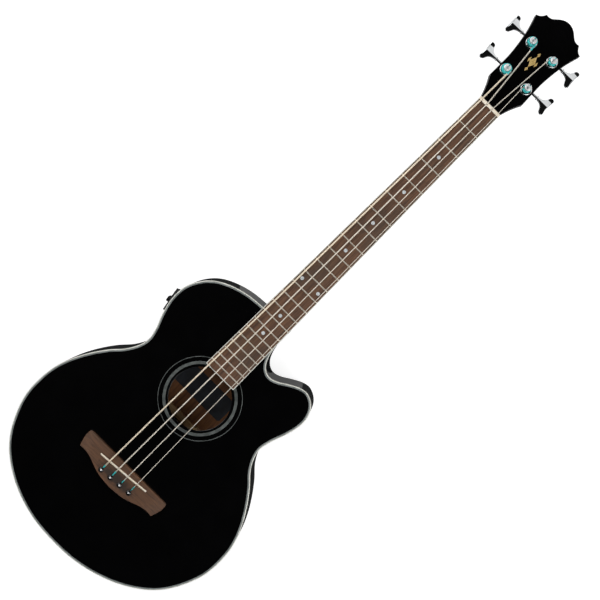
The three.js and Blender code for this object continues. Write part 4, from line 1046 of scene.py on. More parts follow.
def board_half(y):
    """Half width of the board, which widens evenly from the nut to its end."""
    return NUT_HALF + (SCALE_LENGTH - y) * (BOARD_END_HALF - NUT_HALF) / (SCALE_LENGTH - BOARD_END)


def board_top(x):
    """Level of the crowned board: a parabola in place of its large radius."""
    return BOARD_BASE + BOARD_THICKNESS - x * x / (2 * BOARD_RADIUS)


def board_ring(half, y):
    """Section across the board: flat below, crowned above, the upper corners eased."""
    ring = [Vector((half, y, BOARD_BASE)), Vector((-half, y, BOARD_BASE))]
    for i in range(CROWN_STEPS + 1):
        x = half * (2 * i / CROWN_STEPS - 1)
        ring.append(Vector((x, y, board_top(x))))
    return ring


def fingerboard():
    """The wood of the board, lofted from the soundhole to the nut within its edging."""
    inset = BOARD_EDGING + HAIRLINE
    ends = [BOARD_END + inset, BOARD_HEAD_END]
    bm = lofted([board_ring(board_half(y) - inset, y) for y in ends])
    piece(bm, "fingerboard_wood", board_rosewood, stands_for=["fingerboard"], crisp=30)


fingerboard()
print("board glued on")

# %% White edging of the board


def board_edging():
    """A strip along both edges and across the end, level with the crown and rounded outside."""
    steps = 12
    end_half = board_half(BOARD_END)
    head_half = board_half(BOARD_HEAD_END)
    path = [Vector((-head_half, BOARD_HEAD_END, 0))]
    path += [Vector((end_half * (2 * i / steps - 1), BOARD_END, 0)) for i in range(steps + 1)]
    path.append(Vector((head_half, BOARD_HEAD_END, 0)))
    inner = [point.copy() for point in path]
    for point in inner:
        point.x -= math.copysign(BOARD_EDGING, point.x) if abs(point.x) > end_half / 2 else 0
        if point.y < BOARD_END + 1:
            point.y += BOARD_EDGING
    strip = slab(path + inner[::-1], BOARD_BASE, 0)
    for vert in strip.verts:
        if abs(vert.co.z - BOARD_BASE) > WELD:
            vert.co.z = board_top(vert.co.x)
    bmesh.ops.recalc_face_normals(strip, faces=strip.faces)
    eased(strip, 0.3, sharp=60)
    piece(strip, "fingerboard_edging", edging, stands_for=["fingerboard_binding"])


board_edging()
print("board bound")

# %% Frets
FRET_WIDTH = 2.5
FRET_HEIGHT = 1.2
FRET_INSET = 0.5
FRET_SINK = 0.05
FRET_BEVEL = 0.7
# Share of the full section at a fret's end, and halfway through its bevel.
FRET_END, FRET_MIDWAY = 0.35, 0.75


def fret(y):
    """A half-round crown swept across the board, drawn in at both ends where it is filed round."""
    half = board_half(y) - FRET_INSET
    full = half - FRET_BEVEL
    places = [-half, -half + FRET_BEVEL / 2, -full]
    places += [full * (2 * i / CROWN_STEPS - 1) for i in range(1, CROWN_STEPS)]
    places += [full, half - FRET_BEVEL / 2, half]
    path = [Vector((x, y, board_top(x) - FRET_SINK)) for x in places]
    sizes = [FRET_END, FRET_MIDWAY] + [1] * (len(places) - 4) + [FRET_MIDWAY, FRET_END]
    crown = [(FRET_WIDTH / 2 * math.cos(turn), FRET_HEIGHT * math.sin(turn))
             for turn in [math.pi * i / 8 for i in range(9)]]
    return swept(path, crown, up=UPRIGHT, sizes=sizes)


piece(joined(*[fret(fret_y(n)) for n in range(1, FRET_COUNT + 1)]), "frets", nickel_silver, crisp=50)
print(FRET_COUNT, "frets pressed in")

# %% Position dots
SINGLE_DOTS = (3, 5, 7, 9, 15, 17)
DOUBLE_DOT = 12
DOT_RADIUS = 3
DOT_SPREAD = 17.6


def dot(fret_number, x):
    """A pearl disc let into the board between two frets, its top scraped to the crown."""
    y = (fret_y(fret_number) + fret_y(fret_number - 1)) / 2
    profile = [(0, -1), (DOT_RADIUS, -1), (DOT_RADIUS, PROUD), (DOT_RADIUS - 0.15, 0.05), (0, 0.07)]
    bm = spun(profile, steps=40)
    lean = Matrix.Rotation(math.asin(x / BOARD_RADIUS), 4, "Y")
    bm.transform(Matrix.Translation((x, y, board_top(x))) @ lean)
    return bm


dots = [dot(number, 0) for number in SINGLE_DOTS]
dots += [dot(DOUBLE_DOT, side * DOT_SPREAD) for side in (-1, 1)]
print(len(dots), "dots let in")
piece(joined(*dots), "position_dots", pearl, crisp=50)

# %% [markdown]
# ## Nut, bridge and saddle
# The nut and the saddle are bone, the bridge is a block of rosewood with a belly behind the pins. Their
# shapes are right in the frame, with string slots and ramps, so they only need edges that are eased by
# sandpaper. The four pins are turned again with round heads, each with a white dot.

# %% The bridge darkens round the pins
STAIN_HALF = Vector((40, 12, 60))
STAIN_SHIFT = Vector((0, 4, 0))


def oiled_round_the_pins(material):
    """Hands and old oil darken rosewood where strings are changed: a soft-edged oval round the pins."""
    colour = shader_sockets(material)["Base Color"].links[0].from_socket
    middle = (pin_place(1) + pin_place(2)) / 2 + STAIN_SHIFT
    place = add_node(material, "ShaderNodeTexCoord")
    oval = add_node(material, "ShaderNodeMapping",
                    {"Vector": place.outputs["Object"], "Location": LAID @ middle,
                     "Scale": STAIN_HALF * MM}, vector_type="TEXTURE")
    reach = add_node(material, "ShaderNodeVectorMath", {0: oval.outputs["Vector"]}, operation="LENGTH")
    blot = add_node(material, "ShaderNodeTexNoise",
                    {"Vector": place.outputs["Object"], "Scale": per_metre(5), "Detail": 3.0})
    uneven = add_node(material, "ShaderNodeMath", {0: blot.outputs["Fac"], 1: reach.outputs["Value"]},
                      operation="ADD")
    stain = add_node(material, "ShaderNodeMapRange",
                     {"Value": uneven.outputs[0], "From Min": 1.0, "From Max": 1.6,
                      "To Min": 0.85, "To Max": 0.0})
    darker = add_node(material, "ShaderNodeMix",
                      {FACTOR: stain.outputs["Result"], FIRST: colour, SECOND: hex_colour("20140b")},
                      data_type="RGBA")
    feed(material, darker.outputs[MIXED], "Base Color")


oiled_round_the_pins(bridge_rosewood)
print("the stain reaches", [2 * v for v in STAIN_HALF.xy], "mm across and along the bridge")

# %% Nut, bridge and saddle
dressed("nut", bone, width=0.25, sharp=50)
dressed("bridge", bridge_rosewood, width=0.7, sharp=50)
dressed("saddle", bone, width=0.3, sharp=50)
print("nut, bridge and saddle eased")

# %% Bridge pins
BRIDGE_TOP = 9.3
PIN_BASE = BRIDGE_TOP + 0.15
PIN_RIM = 0.9
PIN_HEAD_RADIUS = 4.4
PIN_HEAD_HEIGHT = 2.6
PIN_LENGTH = 24
PIN_TIP_RADIUS = 2.0
PIN_DOT_RADIUS = 1.5


def quarter_round(radius, low, height, steps):
    """Profile points of a dome, from its rim almost to its crown."""
    turns = [math.pi / 2 * k / steps for k in range(steps)]
    return [(radius * math.cos(turn), low + height * math.sin(turn)) for turn in turns]


def bridge_pin(i):
    """A pin with a domed head and a thin shank, and the white dot let into its crown."""
    dome = quarter_round(PIN_HEAD_RADIUS, PIN_BASE + PIN_RIM, PIN_HEAD_HEIGHT - PIN_RIM, 8)
    profile = [(0, PIN_BASE - PIN_LENGTH), (PIN_TIP_RADIUS, PIN_BASE - PIN_LENGTH),
               (PIN_RADIUS, PIN_BASE - 1.2), (PIN_RADIUS + 0.5, PIN_BASE - 0.4),
               (PIN_HEAD_RADIUS - 0.8, PIN_BASE), (PIN_HEAD_RADIUS - 0.2, PIN_BASE + 0.2),
               *dome, (0, PIN_BASE + PIN_HEAD_HEIGHT)]
    pin = spun(profile, steps=40)
    pin.transform(Matrix.Translation(pin_place(i)))
    piece(pin, f"bridge_pin_{i + 1}_turned", pin_plastic, stands_for=[f"bridge_pin_{i + 1}"])
    top = PIN_BASE + PIN_HEAD_HEIGHT
    profile = [(0, top - 1), (PIN_DOT_RADIUS, top - 1), (PIN_DOT_RADIUS, top - 0.1),
               (PIN_DOT_RADIUS * 0.8, top + 0.12), (PIN_DOT_RADIUS * 0.4, top + 0.22), (0, top + 0.25)]
    inlay = spun(profile, steps=32)
    inlay.transform(Matrix.Translation(pin_place(i)))
    piece(inlay, f"pin_dot_{i + 1}", white_dot)


for number in range(len(GAUGES)):
    bridge_pin(number)
print("pins pushed in")

# %% [markdown]
# ## The neck and the headstock
# The neck is one piece of wood: a half-round shaft, a heel at the body and a headstock that leans back.
# Each is lofted or extruded by itself and a boolean joins them, then the tuner holes are drilled through.
# The front of the headstock is a separate plate with a sharp outline, whose edge is only just broken.

# %% The headstock's frame and outline
NUT_THICKNESS = 5.2
HEAD_START = 1.4
HEAD_Y = SCALE_LENGTH + NUT_THICKNESS + HEAD_START
HEAD_RISE = 2.2
HEAD_ANGLE = math.radians(14)
HEAD_LEAN = math.radians(1.15)
HEAD_PLATE = 2
HEAD_WOOD_TOP = -HEAD_PLATE - SEAT_GAP
HEAD_WOOD = 13
HEAD_BACK = HEAD_WOOD_TOP - HEAD_WOOD

HEAD_IN_MAKER = (Matrix.Translation((0, HEAD_Y, HEAD_RISE)) @ Matrix.Rotation(-HEAD_ANGLE, 4, "X")
                 @ Matrix.Rotation(HEAD_LEAN, 4, "Z"))
HEAD = LAID @ HEAD_IN_MAKER
TUNERS = ((-1, 57.9), (-1, 119.1), (1, 119.1), (1, 57.9))
TUNER_OFFSET = 22.4
SLEEVE_RADIUS = 6.55

head_plan = smooth_outline(flat_corners("head_plate", HEAD), spacing=2, hard_turn=24)
print(f"headstock outline: {len(head_plan)} points")


def post_drills(place=Matrix()):
    """Cutters for the four holes through which the posts pass."""
    drills = []
    for side, along in TUNERS:
        spot = Matrix.Translation((side * TUNER_OFFSET, along, 0))
        drills.append(cylinder(SLEEVE_RADIUS + 0.1, -REACH, REACH, place @ spot))
    return drills


# %% Helpers for lofts along a spline
ROUND_STEPS = 28
ROW_STEPS = 5


def spline_rows(rows, steps):
    """Rows of numbers joined by a smooth line through each column."""
    points = [rows[0], *rows, rows[-1]]
    smooth = []
    for before, first, second, after in zip(points, points[1:], points[2:], points[3:]):
        for k in range(steps):
            t = k / steps
            smooth.append([
                (2 * b + (c - a) * t + (2 * a - 5 * b + 4 * c - d) * t ** 2
                 + (3 * b - a - 3 * c + d) * t ** 3) / 2
                for a, b, c, d in zip(before, first, second, after)])
    smooth.append(list(rows[-1]))
    return smooth


def half_ring(half, depth, power):
    """Places across and depths of a half-round section; a power below 1 makes it fuller."""
    turns = [math.pi * i / ROUND_STEPS for i in range(ROUND_STEPS + 1)]
    return [(half * math.cos(turn), depth * max(math.sin(turn), 0) ** power) for turn in turns]


print("half-round sections of", ROUND_STEPS + 1, "points")

# %% The shaft and the heel
BODY_END_DEPTH = 20
NUT_END_DEPTH = 15.5
NECK_START = joint_y + SEAT_GAP
# Beyond the nut the shaft sinks into the headstock: share of the way, of the half width and of the depth.
THROAT_LENGTH = 30
THROAT = ((1 / 3, 1.02, 1.01), (2 / 3, 1.03, 0.9), (1, 1, 0.8))
# The heel's level, half width and reach, from under the shaft to its cap near the back.
HEEL_ROWS = [(-9, 25.5, 74), (-20, 24.7, 63.6), (-40, 23.5, 45.9), (-64, 22.2, 37),
             (above_back(1.5)(joint_y), 19, 24)]


def neck_shaft():
    """Rows of place, half width, level and depth, each made a half-round ring under its level."""
    face = HEAD_RISE + HEAD_WOOD_TOP / math.cos(HEAD_ANGLE) - 0.15
    rows = [(NECK_START, board_half(NECK_START), 0, BODY_END_DEPTH),
            (SCALE_LENGTH - HEAD_WOOD, board_half(SCALE_LENGTH - HEAD_WOOD), 0, NUT_END_DEPTH),
            (SCALE_LENGTH + NUT_THICKNESS, NUT_HALF, 0, NUT_END_DEPTH)]
    for share, wide, deep in THROAT:
        beyond = share * THROAT_LENGTH
        sunk = face - beyond * math.tan(HEAD_ANGLE)
        rows.append((HEAD_Y + beyond, NUT_HALF * wide, sunk, NUT_END_DEPTH * deep))
    rows = rows[:1] + spline_rows(rows[1:], ROW_STEPS)
    return lofted([[Vector((x, y, top - down)) for x, down in half_ring(half, depth, 3 / 4)]
                   for y, half, top, depth in rows])


def neck_heel():
    """Rings that lie flat and reach out from the body, from the shaft down to the back."""
    return lofted([[Vector((x, NECK_START + out, z)) for x, out in half_ring(half, reach, 4 / 5)]
                   for z, half, reach in spline_rows(HEEL_ROWS, ROW_STEPS)])


print(f"the shaft is {BODY_END_DEPTH} mm deep at the body and {NUT_END_DEPTH} mm at the nut")

# %% The neck in one piece
ROD_HALF = 3.3
ROD_LENGTH = 444.3


def neck():
    """Shaft, heel and headstock joined, then the rod's channel cut and the holes of the posts drilled."""
    wood_slab = slab(head_plan, HEAD_BACK, HEAD_WOOD_TOP)
    eased(wood_slab, 1.2, segments=3, chosen=lambda edge: all(
        vert.co.z < HEAD_BACK + WELD for vert in edge.verts))
    wood_slab.transform(HEAD_IN_MAKER)
    channel = block((-ROD_HALF, joint_y - 4, -2 * ROD_HALF), (ROD_HALF, joint_y + ROD_LENGTH, 4))
    whole = carved(neck_shaft(), neck_heel(), wood_slab, operation="UNION")
    whole = carved(whole, channel, *post_drills(HEAD_IN_MAKER))
    piece(whole, "neck_lacquered", lacquer, stands_for=["neck"], crisp=40)


neck()

# %% The front of the headstock and its inlay
MOTIF_MIDDLE = 97.5
# Distance from the middle, half width and half length of the lozenges beside it and at its ends.
MOTIF_SIDE = (6.7, 2.0, 5.4)
MOTIF_END = (15.2, 2.4, 4.4)


def lozenge(x, y, half, tall):
    """A diamond let into the lacquer, its face a hair proud."""
    bm = slab([Vector((x, y - tall, 0)), Vector((x + half, y, 0)), Vector((x, y + tall, 0)),
               Vector((x - half, y, 0))], -0.6, 0.1)
    return eased(bm, 0.05, segments=1)


def head_front():
    """The gloss face, drilled for the posts, and a motif of five lozenges between them."""
    plate = carved(slab(head_plan, -HEAD_PLATE, 0), *post_drills())
    eased(plate, 0.4, segments=3, chosen=lambda edge: all(vert.co.z > -WELD for vert in edge.verts))
    piece(plate, "head_plate_lacquered", lacquer, place=HEAD, stands_for=["head_plate"])
    shapes = [lozenge(0, MOTIF_MIDDLE, 5.4, 11)]
    for side in (-1, 1):
        across, *size = MOTIF_SIDE
        shapes.append(lozenge(side * across, MOTIF_MIDDLE, *size))
        along, *size = MOTIF_END
        shapes.append(lozenge(0, MOTIF_MIDDLE + side * along, *size))
    piece(joined(*shapes), "head_inlay", gold_leaf, place=HEAD)


head_front()
print("headstock faced")

# %% [markdown]
# ## Strings
# Each string runs from its ball end under the top, up beside its pin, over the saddle and the nut, and
# winds down round its post. The route is worked out again from the same sizes as in the frame, with far
# more points, and swept as a round wire. Teal silk covers both ends of a string, where the winding would
# otherwise be crushed by the pin and the post.

# %% Where a string bends
NUT_SPACING = 11.35
NUT_LIFT = 1.7
SADDLE_TOP = 13.4
STRING_SLACK = 0.3
STRING_SINK = 1.7
BALL_LEVEL = -8.3


def string_bends(i):
    """Where a string changes direction: ball, pin, saddle and nut."""
    radius = GAUGES[i] / 2
    pin = pin_place(i)
    front = pin.y + PIN_RADIUS + RUN_GAP + radius
    x = string_x(i, SADDLE_SPACING)
    crown = SADDLE_TOP - x * x / (2 * BOARD_RADIUS)
    at_nut = string_x(i, NUT_SPACING)
    return [
        Vector((x, front, BALL_LEVEL)),
        Vector((x, front, BRIDGE_TOP - STRING_SINK - radius)),
        Vector((x, saddle_y(x), crown + STRING_SLACK + radius)),
        Vector((at_nut, SCALE_LENGTH + NUT_THICKNESS + SEAT_GAP, board_top(at_nut) + NUT_LIFT + radius)),
    ]


print("string e bends at the heights", [round(bend.z, 1) for bend in string_bends(0)])

# %% The winding and the whole route
WINDING_TURNS = (2.1, 2.6, 2.6, 3.1)
WINDING_STEPS = 40
WINDING_SPACE = 0.85
POST_RADIUS = 5
FERRULE_HEIGHT = 1.7
# Share of a string's thickness within which it bends.
BEND_REACH = 0.6


def winding(i, nut_point):
    """Turns round the post in the headstock's frame, from the top one down."""
    radius = GAUGES[i] / 2
    around = POST_RADIUS + RUN_GAP + radius
    side, along = TUNERS[i]
    centre = Vector((side * TUNER_OFFSET, along))
    nut = HEAD_IN_MAKER.inverted() @ nut_point
    reach = Vector((nut.x, nut.y)) - centre
    start = math.atan2(reach.y, reach.x) - side * math.acos(around / reach.length)
    low = FERRULE_HEIGHT + SEAT_GAP + radius
    turns = WINDING_TURNS[i]
    rise = (GAUGES[i] + WINDING_SPACE) * turns
    count = round(turns * WINDING_STEPS)
    points = []
    for k in range(count + 1):
        angle = start - side * math.tau * turns * k / count
        points.append(Vector((centre.x + around * math.cos(angle), centre.y + around * math.sin(angle),
                              low + rise * (1 - k / count))))
    points.append(points[-1] + (points[-1] - points[-2]).normalized() * radius * 2)
    return [HEAD_IN_MAKER @ point for point in points]


def rounded_bends(points, reach, steps=6):
    """A line whose corners are Bezier curves within the given reach."""
    line = [points[0]]
    for before, corner, after in zip(points, points[1:], points[2:]):
        start = corner + (before - corner).normalized() * reach
        end = corner + (after - corner).normalized() * reach
        line += interpolate_bezier(start, corner, corner, end, steps)
    line.append(points[-1])
    return line


def string_route(i):
    """The whole line of a string, from its ball to the end of its winding."""
    bends = string_bends(i)
    turns = winding(i, bends[-1])
    return rounded_bends([*bends, turns[0]], BEND_REACH * GAUGES[i]) + turns[1:]


print("the route of string e has", len(string_route(0)), "points")

# %% Wires and their silk
SILK_THICKNESS = 0.12
# How far the silk shows above the pin and before the post, and how far it goes down beside the pin.
SILK_AT_PIN = (6.5, 11, 8.5, 11.5)
SILK_AT_POST = (7, 14.5, 4, 3)
SILK_BELOW = 4
BALL_RADIUS = 2.8
BALL_HALF = 2


def cut_route(route, start, end):
    """The stretch of a route between two distances from its start."""
    part = []
    covered = 0
    for a, b in zip(route, route[1:]):
        step = (b - a).length
        for limit in (start, end):
            if covered < limit < covered + step:
                part.append(a.lerp(b, (limit - covered) / step))
        covered += step
        if start < covered < end:
            part.append(b)
    return part


def route_length(points):
    """Length of a line through points."""
    return sum((b - a).length for a, b in zip(points, points[1:]))


def string(i):
    """One wire from ball to winding, its ball end, and the silk on both ends; returns its length."""
    name = f"string_{STRING_NAMES[i]}"
    route = string_route(i)
    radius = GAUGES[i] / 2
    wire = swept(route, round_section(radius))
    # The thickest string is wound with bronze, the others with nickel.
    piece(wire, f"{name}_wire", bronze_wire if i == 0 else nickel_wire, stands_for=[name], crisp=60)
    ball_y = pin_place(i).y + PIN_RADIUS + SEAT_GAP + BALL_RADIUS
    ball = cylinder(BALL_RADIUS, BALL_LEVEL - BALL_HALF, BALL_LEVEL + BALL_HALF,
                    Matrix.Translation((route[0].x, ball_y, 0)))
    piece(eased(ball, 0.4), f"{name}_ball", brass)
    bends = string_bends(i)
    to_pin = route_length(bends[:2])
    to_post = route_length([*bends, winding(i, bends[-1])[0]])
    total = route_length(route)
    ends = ((to_pin - SILK_BELOW, to_pin + SILK_AT_PIN[i]), (to_post - SILK_AT_POST[i], total - 0.5))
    wraps = [swept(cut_route(route, *stretch), round_section(radius + SILK_THICKNESS)) for stretch in ends]
    piece(joined(*wraps), f"{name}_silk", silk, crisp=60)
    return total


for number in range(len(GAUGES)):
    print(f"string {STRING_NAMES[number]}: {string(number):.0f} mm")

# %% [markdown]
# ## Tuners
# A tuner is a worm gear: turning the key turns a worm, which drives the wheel under the post. Key, worm,
# wheel, post, base plate and ferrule are separate pieces, as on the bench. Key and worm ride on one body,
# wheel and post on another, so they turn when the guitar is tuned. The key is the part that shows most: two
# lobes, one on either side of a ridge.

# %% Sizes of a tuner
FERRULE_RADIUS = 9.3
POST_TOP = 16
POST_CAP = 5.7
POST_CAP_HEIGHT = 3.4
SPINDLE = 3
GEAR_TEETH = 20
GEAR_PITCH = 2
GEAR_WIDTH = 5
ADDENDUM = 0.65
DEDENDUM = 0.85
TOOTH_SHARE = 0.36
FLANK = math.tan(math.radians(20))
WORM_RADIUS = 2.9
WORM_TURNS = 3.5
WORM_LEVEL = -21.2
SHAFT_RADIUS = 2.2
KEY_COLLAR = 22
COLLAR_HALF = 0.9
COLLAR_RADIUS = 3.6
KEY_REACH = 46.2
KEY_THICKNESS = 6.5
KEY_BEND = 2.2
WHEEL_FACE = WORM_LEVEL - GEAR_WIDTH / 2 - SEAT_GAP

gear_radius = GEAR_TEETH * GEAR_PITCH / math.tau
worm_offset = gear_radius + WORM_RADIUS
worm_half = GEAR_PITCH * (WORM_TURNS + 1) / 2


def tuner_place(i):
    """Frame of a tuner: Z along its post, the face of the headstock at zero."""
    side, along = TUNERS[i]
    return HEAD @ Matrix.Translation((side * TUNER_OFFSET, along, 0))


def key_place(i):
    """Frame of a key: X along its shaft, away from the headstock."""
    flip = Matrix.Rotation(math.pi if TUNERS[i][0] < 0 else 0, 4, "Y")
    return tuner_place(i) @ Matrix.Translation((0, worm_offset, WORM_LEVEL)) @ flip


print(f"a wheel {2 * gear_radius:.1f} mm across turns on a post {worm_offset:.1f} mm from its worm")

# %% Ferrule and post
SLEEVE_FOOT = -12
BORE_RADIUS = 1.8
BORE_FOOT = POST_TOP - 9
SLOT_HALF = 1.1
SLOT_FOOT = POST_TOP - 6


def ferrule(i):
    """A wide flange with a soft rim on the face of the headstock, and the sleeve below it."""
    inner = POST_RADIUS + RUN_GAP
    profile = [(inner, SLEEVE_FOOT), (SLEEVE_RADIUS, SLEEVE_FOOT), (SLEEVE_RADIUS, 0.1),
               (FERRULE_RADIUS, 0.1), (FERRULE_RADIUS, 0.7), (FERRULE_RADIUS - 0.25, 1.1),
               (FERRULE_RADIUS - 0.8, 1.4), (inner + 1.2, 1.62), (inner + 0.5, 1.6), (inner, 1.3),
               (inner, SLEEVE_FOOT)]
    piece(spun(profile), f"tuner_ferrule_{i + 1}_turned", chrome, place=tuner_place(i),
          stands_for=[f"tuner_ferrule_{i + 1}"], crisp=30)


def post(i):
    """Slotted post with a flared cap, and a countersunk hole in its top."""
    shoulder = HEAD_BACK + SEAT_GAP
    cap_base = POST_TOP - POST_CAP_HEIGHT
    profile = [(0, WHEEL_FACE), (SPINDLE, WHEEL_FACE), (SPINDLE, shoulder), (POST_RADIUS, shoulder + SPINDLE),
               (POST_RADIUS, cap_base - 1.2), (POST_RADIUS + 0.5, cap_base - 0.5), (POST_CAP - 0.1, cap_base),
               (POST_CAP, cap_base + 0.4), (POST_CAP, POST_TOP - 1), (POST_CAP - 0.3, POST_TOP - 0.4),
               (POST_CAP - 1, POST_TOP), (BORE_RADIUS + 0.7, POST_TOP), (BORE_RADIUS, POST_TOP - 0.7),
               (BORE_RADIUS, BORE_FOOT), (0, BORE_FOOT)]
    slot = block((-SLOT_HALF, -2 * POST_RADIUS, SLOT_FOOT), (SLOT_HALF, 2 * POST_RADIUS, POST_TOP + 4))
    piece(carved(spun(profile), slot), f"tuner_post_{i + 1}_turned", worn_chrome, place=tuner_place(i),
          body=f"post_{i + 1}", stands_for=[f"tuner_post_{i + 1}"], crisp=30)


print(f"posts stand {POST_TOP} mm above the headstock")

# %% Worm wheel
WHEEL_SLICES = 4


def wheel_outline(start, lead):
    """Flat outline of the wheel at a level: four points to a tooth, turned as far as the worm leads there."""
    root, tip = gear_radius - DEDENDUM, gear_radius + ADDENDUM
    half_tooth = GEAR_PITCH * TOOTH_SHARE / 2
    root_turn = (half_tooth + DEDENDUM * FLANK) / root
    tip_turn = (half_tooth - ADDENDUM * FLANK) / tip
    points = []
    for tooth in range(GEAR_TEETH):
        middle = math.pi / 2 + (tooth + 0.5) * math.tau / GEAR_TEETH + start * lead
        for radius, turn in ((root, -root_turn), (tip, -tip_turn), (tip, tip_turn), (root, root_turn)):
            angle = middle + turn
            points.append((radius * math.cos(angle), radius * math.sin(angle), start))
    return points


def worm_wheel(i):
    """Brass wheel whose teeth lean with the worm: its outline is extruded in steps, each turned a little."""
    bm = bmesh.new()
    lead = GEAR_PITCH / (math.tau * WORM_RADIUS * gear_radius)
    edges = edge_loop(bm, wheel_outline(-GEAR_WIDTH / 2, lead))
    step = GEAR_WIDTH / WHEEL_SLICES
    for _ in range(WHEEL_SLICES):
        made = bmesh.ops.extrude_edge_only(bm, edges=edges)
        edges = only(bmesh.types.BMEdge, made)
        turn = Matrix.Translation((0, 0, step)) @ Matrix.Rotation(step * lead, 4, "Z")
        bmesh.ops.transform(bm, matrix=turn, verts=only(bmesh.types.BMVert, made))
    bmesh.ops.holes_fill(bm, edges=[each for each in bm.edges if each.is_boundary])
    bm.transform(Matrix.Translation((0, 0, WORM_LEVEL)))
    piece(bm, f"worm_wheel_{i + 1}", brass, place=tuner_place(i), body=f"post_{i + 1}", crisp=30)


print("worm wheels of", GEAR_TEETH, "teeth")

# %% The blade of a key
# Along the blade, as shares: place, half width, thickness and how far the lobes reach out.
BLADE_ROWS = [
    (0, 0.14, 1, 0), (0.16, 0.17, 0.95, 0), (0.34, 0.24, 0.86, 0), (0.5, 0.37, 0.82, 0),
    (0.59, 0.54, 0.8, 0.05), (0.65, 0.74, 0.8, 0.2), (0.7, 0.88, 0.8, 0.35), (0.77, 0.97, 0.8, 0.55),
    (0.84, 1, 0.8, 0.72), (0.9, 0.99, 0.8, 0.88), (0.95, 0.95, 0.78, 1), (0.985, 0.88, 0.74, 1),
    (1, 0.8, 0.66, 1),
]
BLADE_HALF = 16.6
BLADE_SLOPE = 0.13
TIP_START = 9.8
# Across the blade, from the ridge to the edge: share of the half width, and distance kept from the edge.
BLADE_ACROSS = [(0, 0), (0.2, 0), (0.4, 0), (0.55, 0), (0.65, 0), (0.8, 0),
                (1, 0.6), (1, 0.3), (1, 0.1), (1, 0)]
# The edge is rounded: share of the thickness that is left at each distance from it.
BLADE_EDGE = {0.6: 1, 0.3: 0.86, 0.1: 0.62, 0: 0.3}


def blade_level(middle, place, wide):
    """Height of the blade's face: a slope away from the ridge, which turns flat at a full tip."""
    # The tip is full where the blade has 0.9 of its width, and fades out down to 0.7.
    tip = min(max(wide - 0.7, 0) / 0.2, 1)
    beyond = max(place - TIP_START, 0)
    return middle - BLADE_SLOPE * (place - tip * beyond)


def key_blade():
    """Two lobes with a ridge between them and a flat at each tip, lofted from the stem to the outer edge."""
    start = KEY_COLLAR + COLLAR_HALF
    length = KEY_REACH - KEY_BEND - start
    rings = []
    for along, wide, thick, bend in spline_rows(BLADE_ROWS, 4):
        half = wide * BLADE_HALF
        middle = min(KEY_THICKNESS * thick / 2, 1.6 * half)
        side = []
        for share, kept in BLADE_ACROSS:
            place = half * share - kept
            drop = BLADE_EDGE[kept] if share == 1 else 1
            level = blade_level(middle, place, wide) * drop
            x = start + along * length + bend * KEY_BEND * (place / half) ** 2
            side.append(Vector((x, place, level)))
        mirrored = [Vector((point.x, -point.y, point.z)) for point in reversed(side[1:])]
        top = mirrored + side
        rings.append(top + [Vector((point.x, point.y, -point.z)) for point in reversed(top)])
    return lofted(rings)


print(f"blades {2 * BLADE_HALF} mm wide")

# %% The shaft and worm of a key


def key_shaft():
    """Shaft with a collar below the blade and a tail that ends inside the blade."""
    core = WORM_RADIUS - DEDENDUM
    stub = worm_half + 2 * RUN_GAP + 2
    low, high = KEY_COLLAR - COLLAR_HALF, KEY_COLLAR + COLLAR_HALF
    profile = [(0, -stub), (SHAFT_RADIUS, -stub), (SHAFT_RADIUS, -worm_half), (core, -worm_half),
               (core, worm_half), (SHAFT_RADIUS, worm_half), (SHAFT_RADIUS, low), (COLLAR_RADIUS - 0.3, low),
               (COLLAR_RADIUS, low + 0.4), (COLLAR_RADIUS, high - 0.4), (COLLAR_RADIUS - 0.3, high),
               (SHAFT_RADIUS + 0.3, KEY_COLLAR + 1.8), (SHAFT_RADIUS, KEY_COLLAR + 5.4),
               (0, KEY_COLLAR + 7.2)]
    bm = spun(profile, steps=40)
    bm.transform(Matrix.Rotation(math.pi / 2, 4, "Y"))
    return bm


def worm_thread():
    """One ridge swept along a right-hand helix round the shaft."""
    core, crest = WORM_RADIUS - DEDENDUM, WORM_RADIUS + ADDENDUM
    half_thread = GEAR_PITCH * TOOTH_SHARE / 2
    foot = core - 0.2
    section = [(-half_thread - (WORM_RADIUS - foot) * FLANK, foot), (ADDENDUM * FLANK - half_thread, crest),
               (half_thread - ADDENDUM * FLANK, crest), (half_thread + (WORM_RADIUS - foot) * FLANK, foot)]
    steps = 28
    rings = []
    for k in range(round(WORM_TURNS * steps) + 1):
        angle = math.tau * (k / steps - WORM_TURNS / 2)
        along = GEAR_PITCH * angle / math.tau
        rings.append([Vector((along + offset, -radius * math.cos(angle), -radius * math.sin(angle)))
                      for offset, radius in section])
    return lofted(rings)


def key(i):
    """Shaft and worm in one piece and the blade in another, both on the body of the key."""
    name = f"tuner_key_{i + 1}"
    piece(joined(key_shaft(), worm_thread()), f"{name}_worm", chrome, place=key_place(i),
          body=f"key_{i + 1}", crisp=30)
    piece(key_blade(), f"{name}_blade", chrome, place=key_place(i), body=f"key_{i + 1}",
          stands_for=[name], crisp=12)


print("a worm of", WORM_TURNS, "turns on each shaft")

# %% Screws, and all four tuners
PLATE_HALF = 11.2
PLATE_LOW = 13
PLATE_HIGH = 21
PLATE_FACE = -17.1
SCREW_MARGIN = 2.9
SCREW_HEAD = 2.1
SCREW_DOME = 0.9
SCREW_SHANK = 1.1
# The arms of the cross slot: half length, half width and the level of their floor.
SLOT_ARM, SLOT_NARROW, SLOT_FLOOR = 1.2, 0.22, 0.35


def screw(place):
    """Small domed screw with a cross slot, head along +Z."""
    dome = quarter_round(SCREW_HEAD, 0, SCREW_DOME, 5)
    head = spun([(0, -2), (SCREW_SHANK, -2), (SCREW_SHANK, 0), *dome, (0, SCREW_DOME)], steps=24)
    slots = [block((-x, -y, SLOT_FLOOR), (x, y, 2))
             for x, y in ((SLOT_ARM, SLOT_NARROW), (SLOT_NARROW, SLOT_ARM))]
    head = carved(head, *slots)
    head.transform(place)
    return head


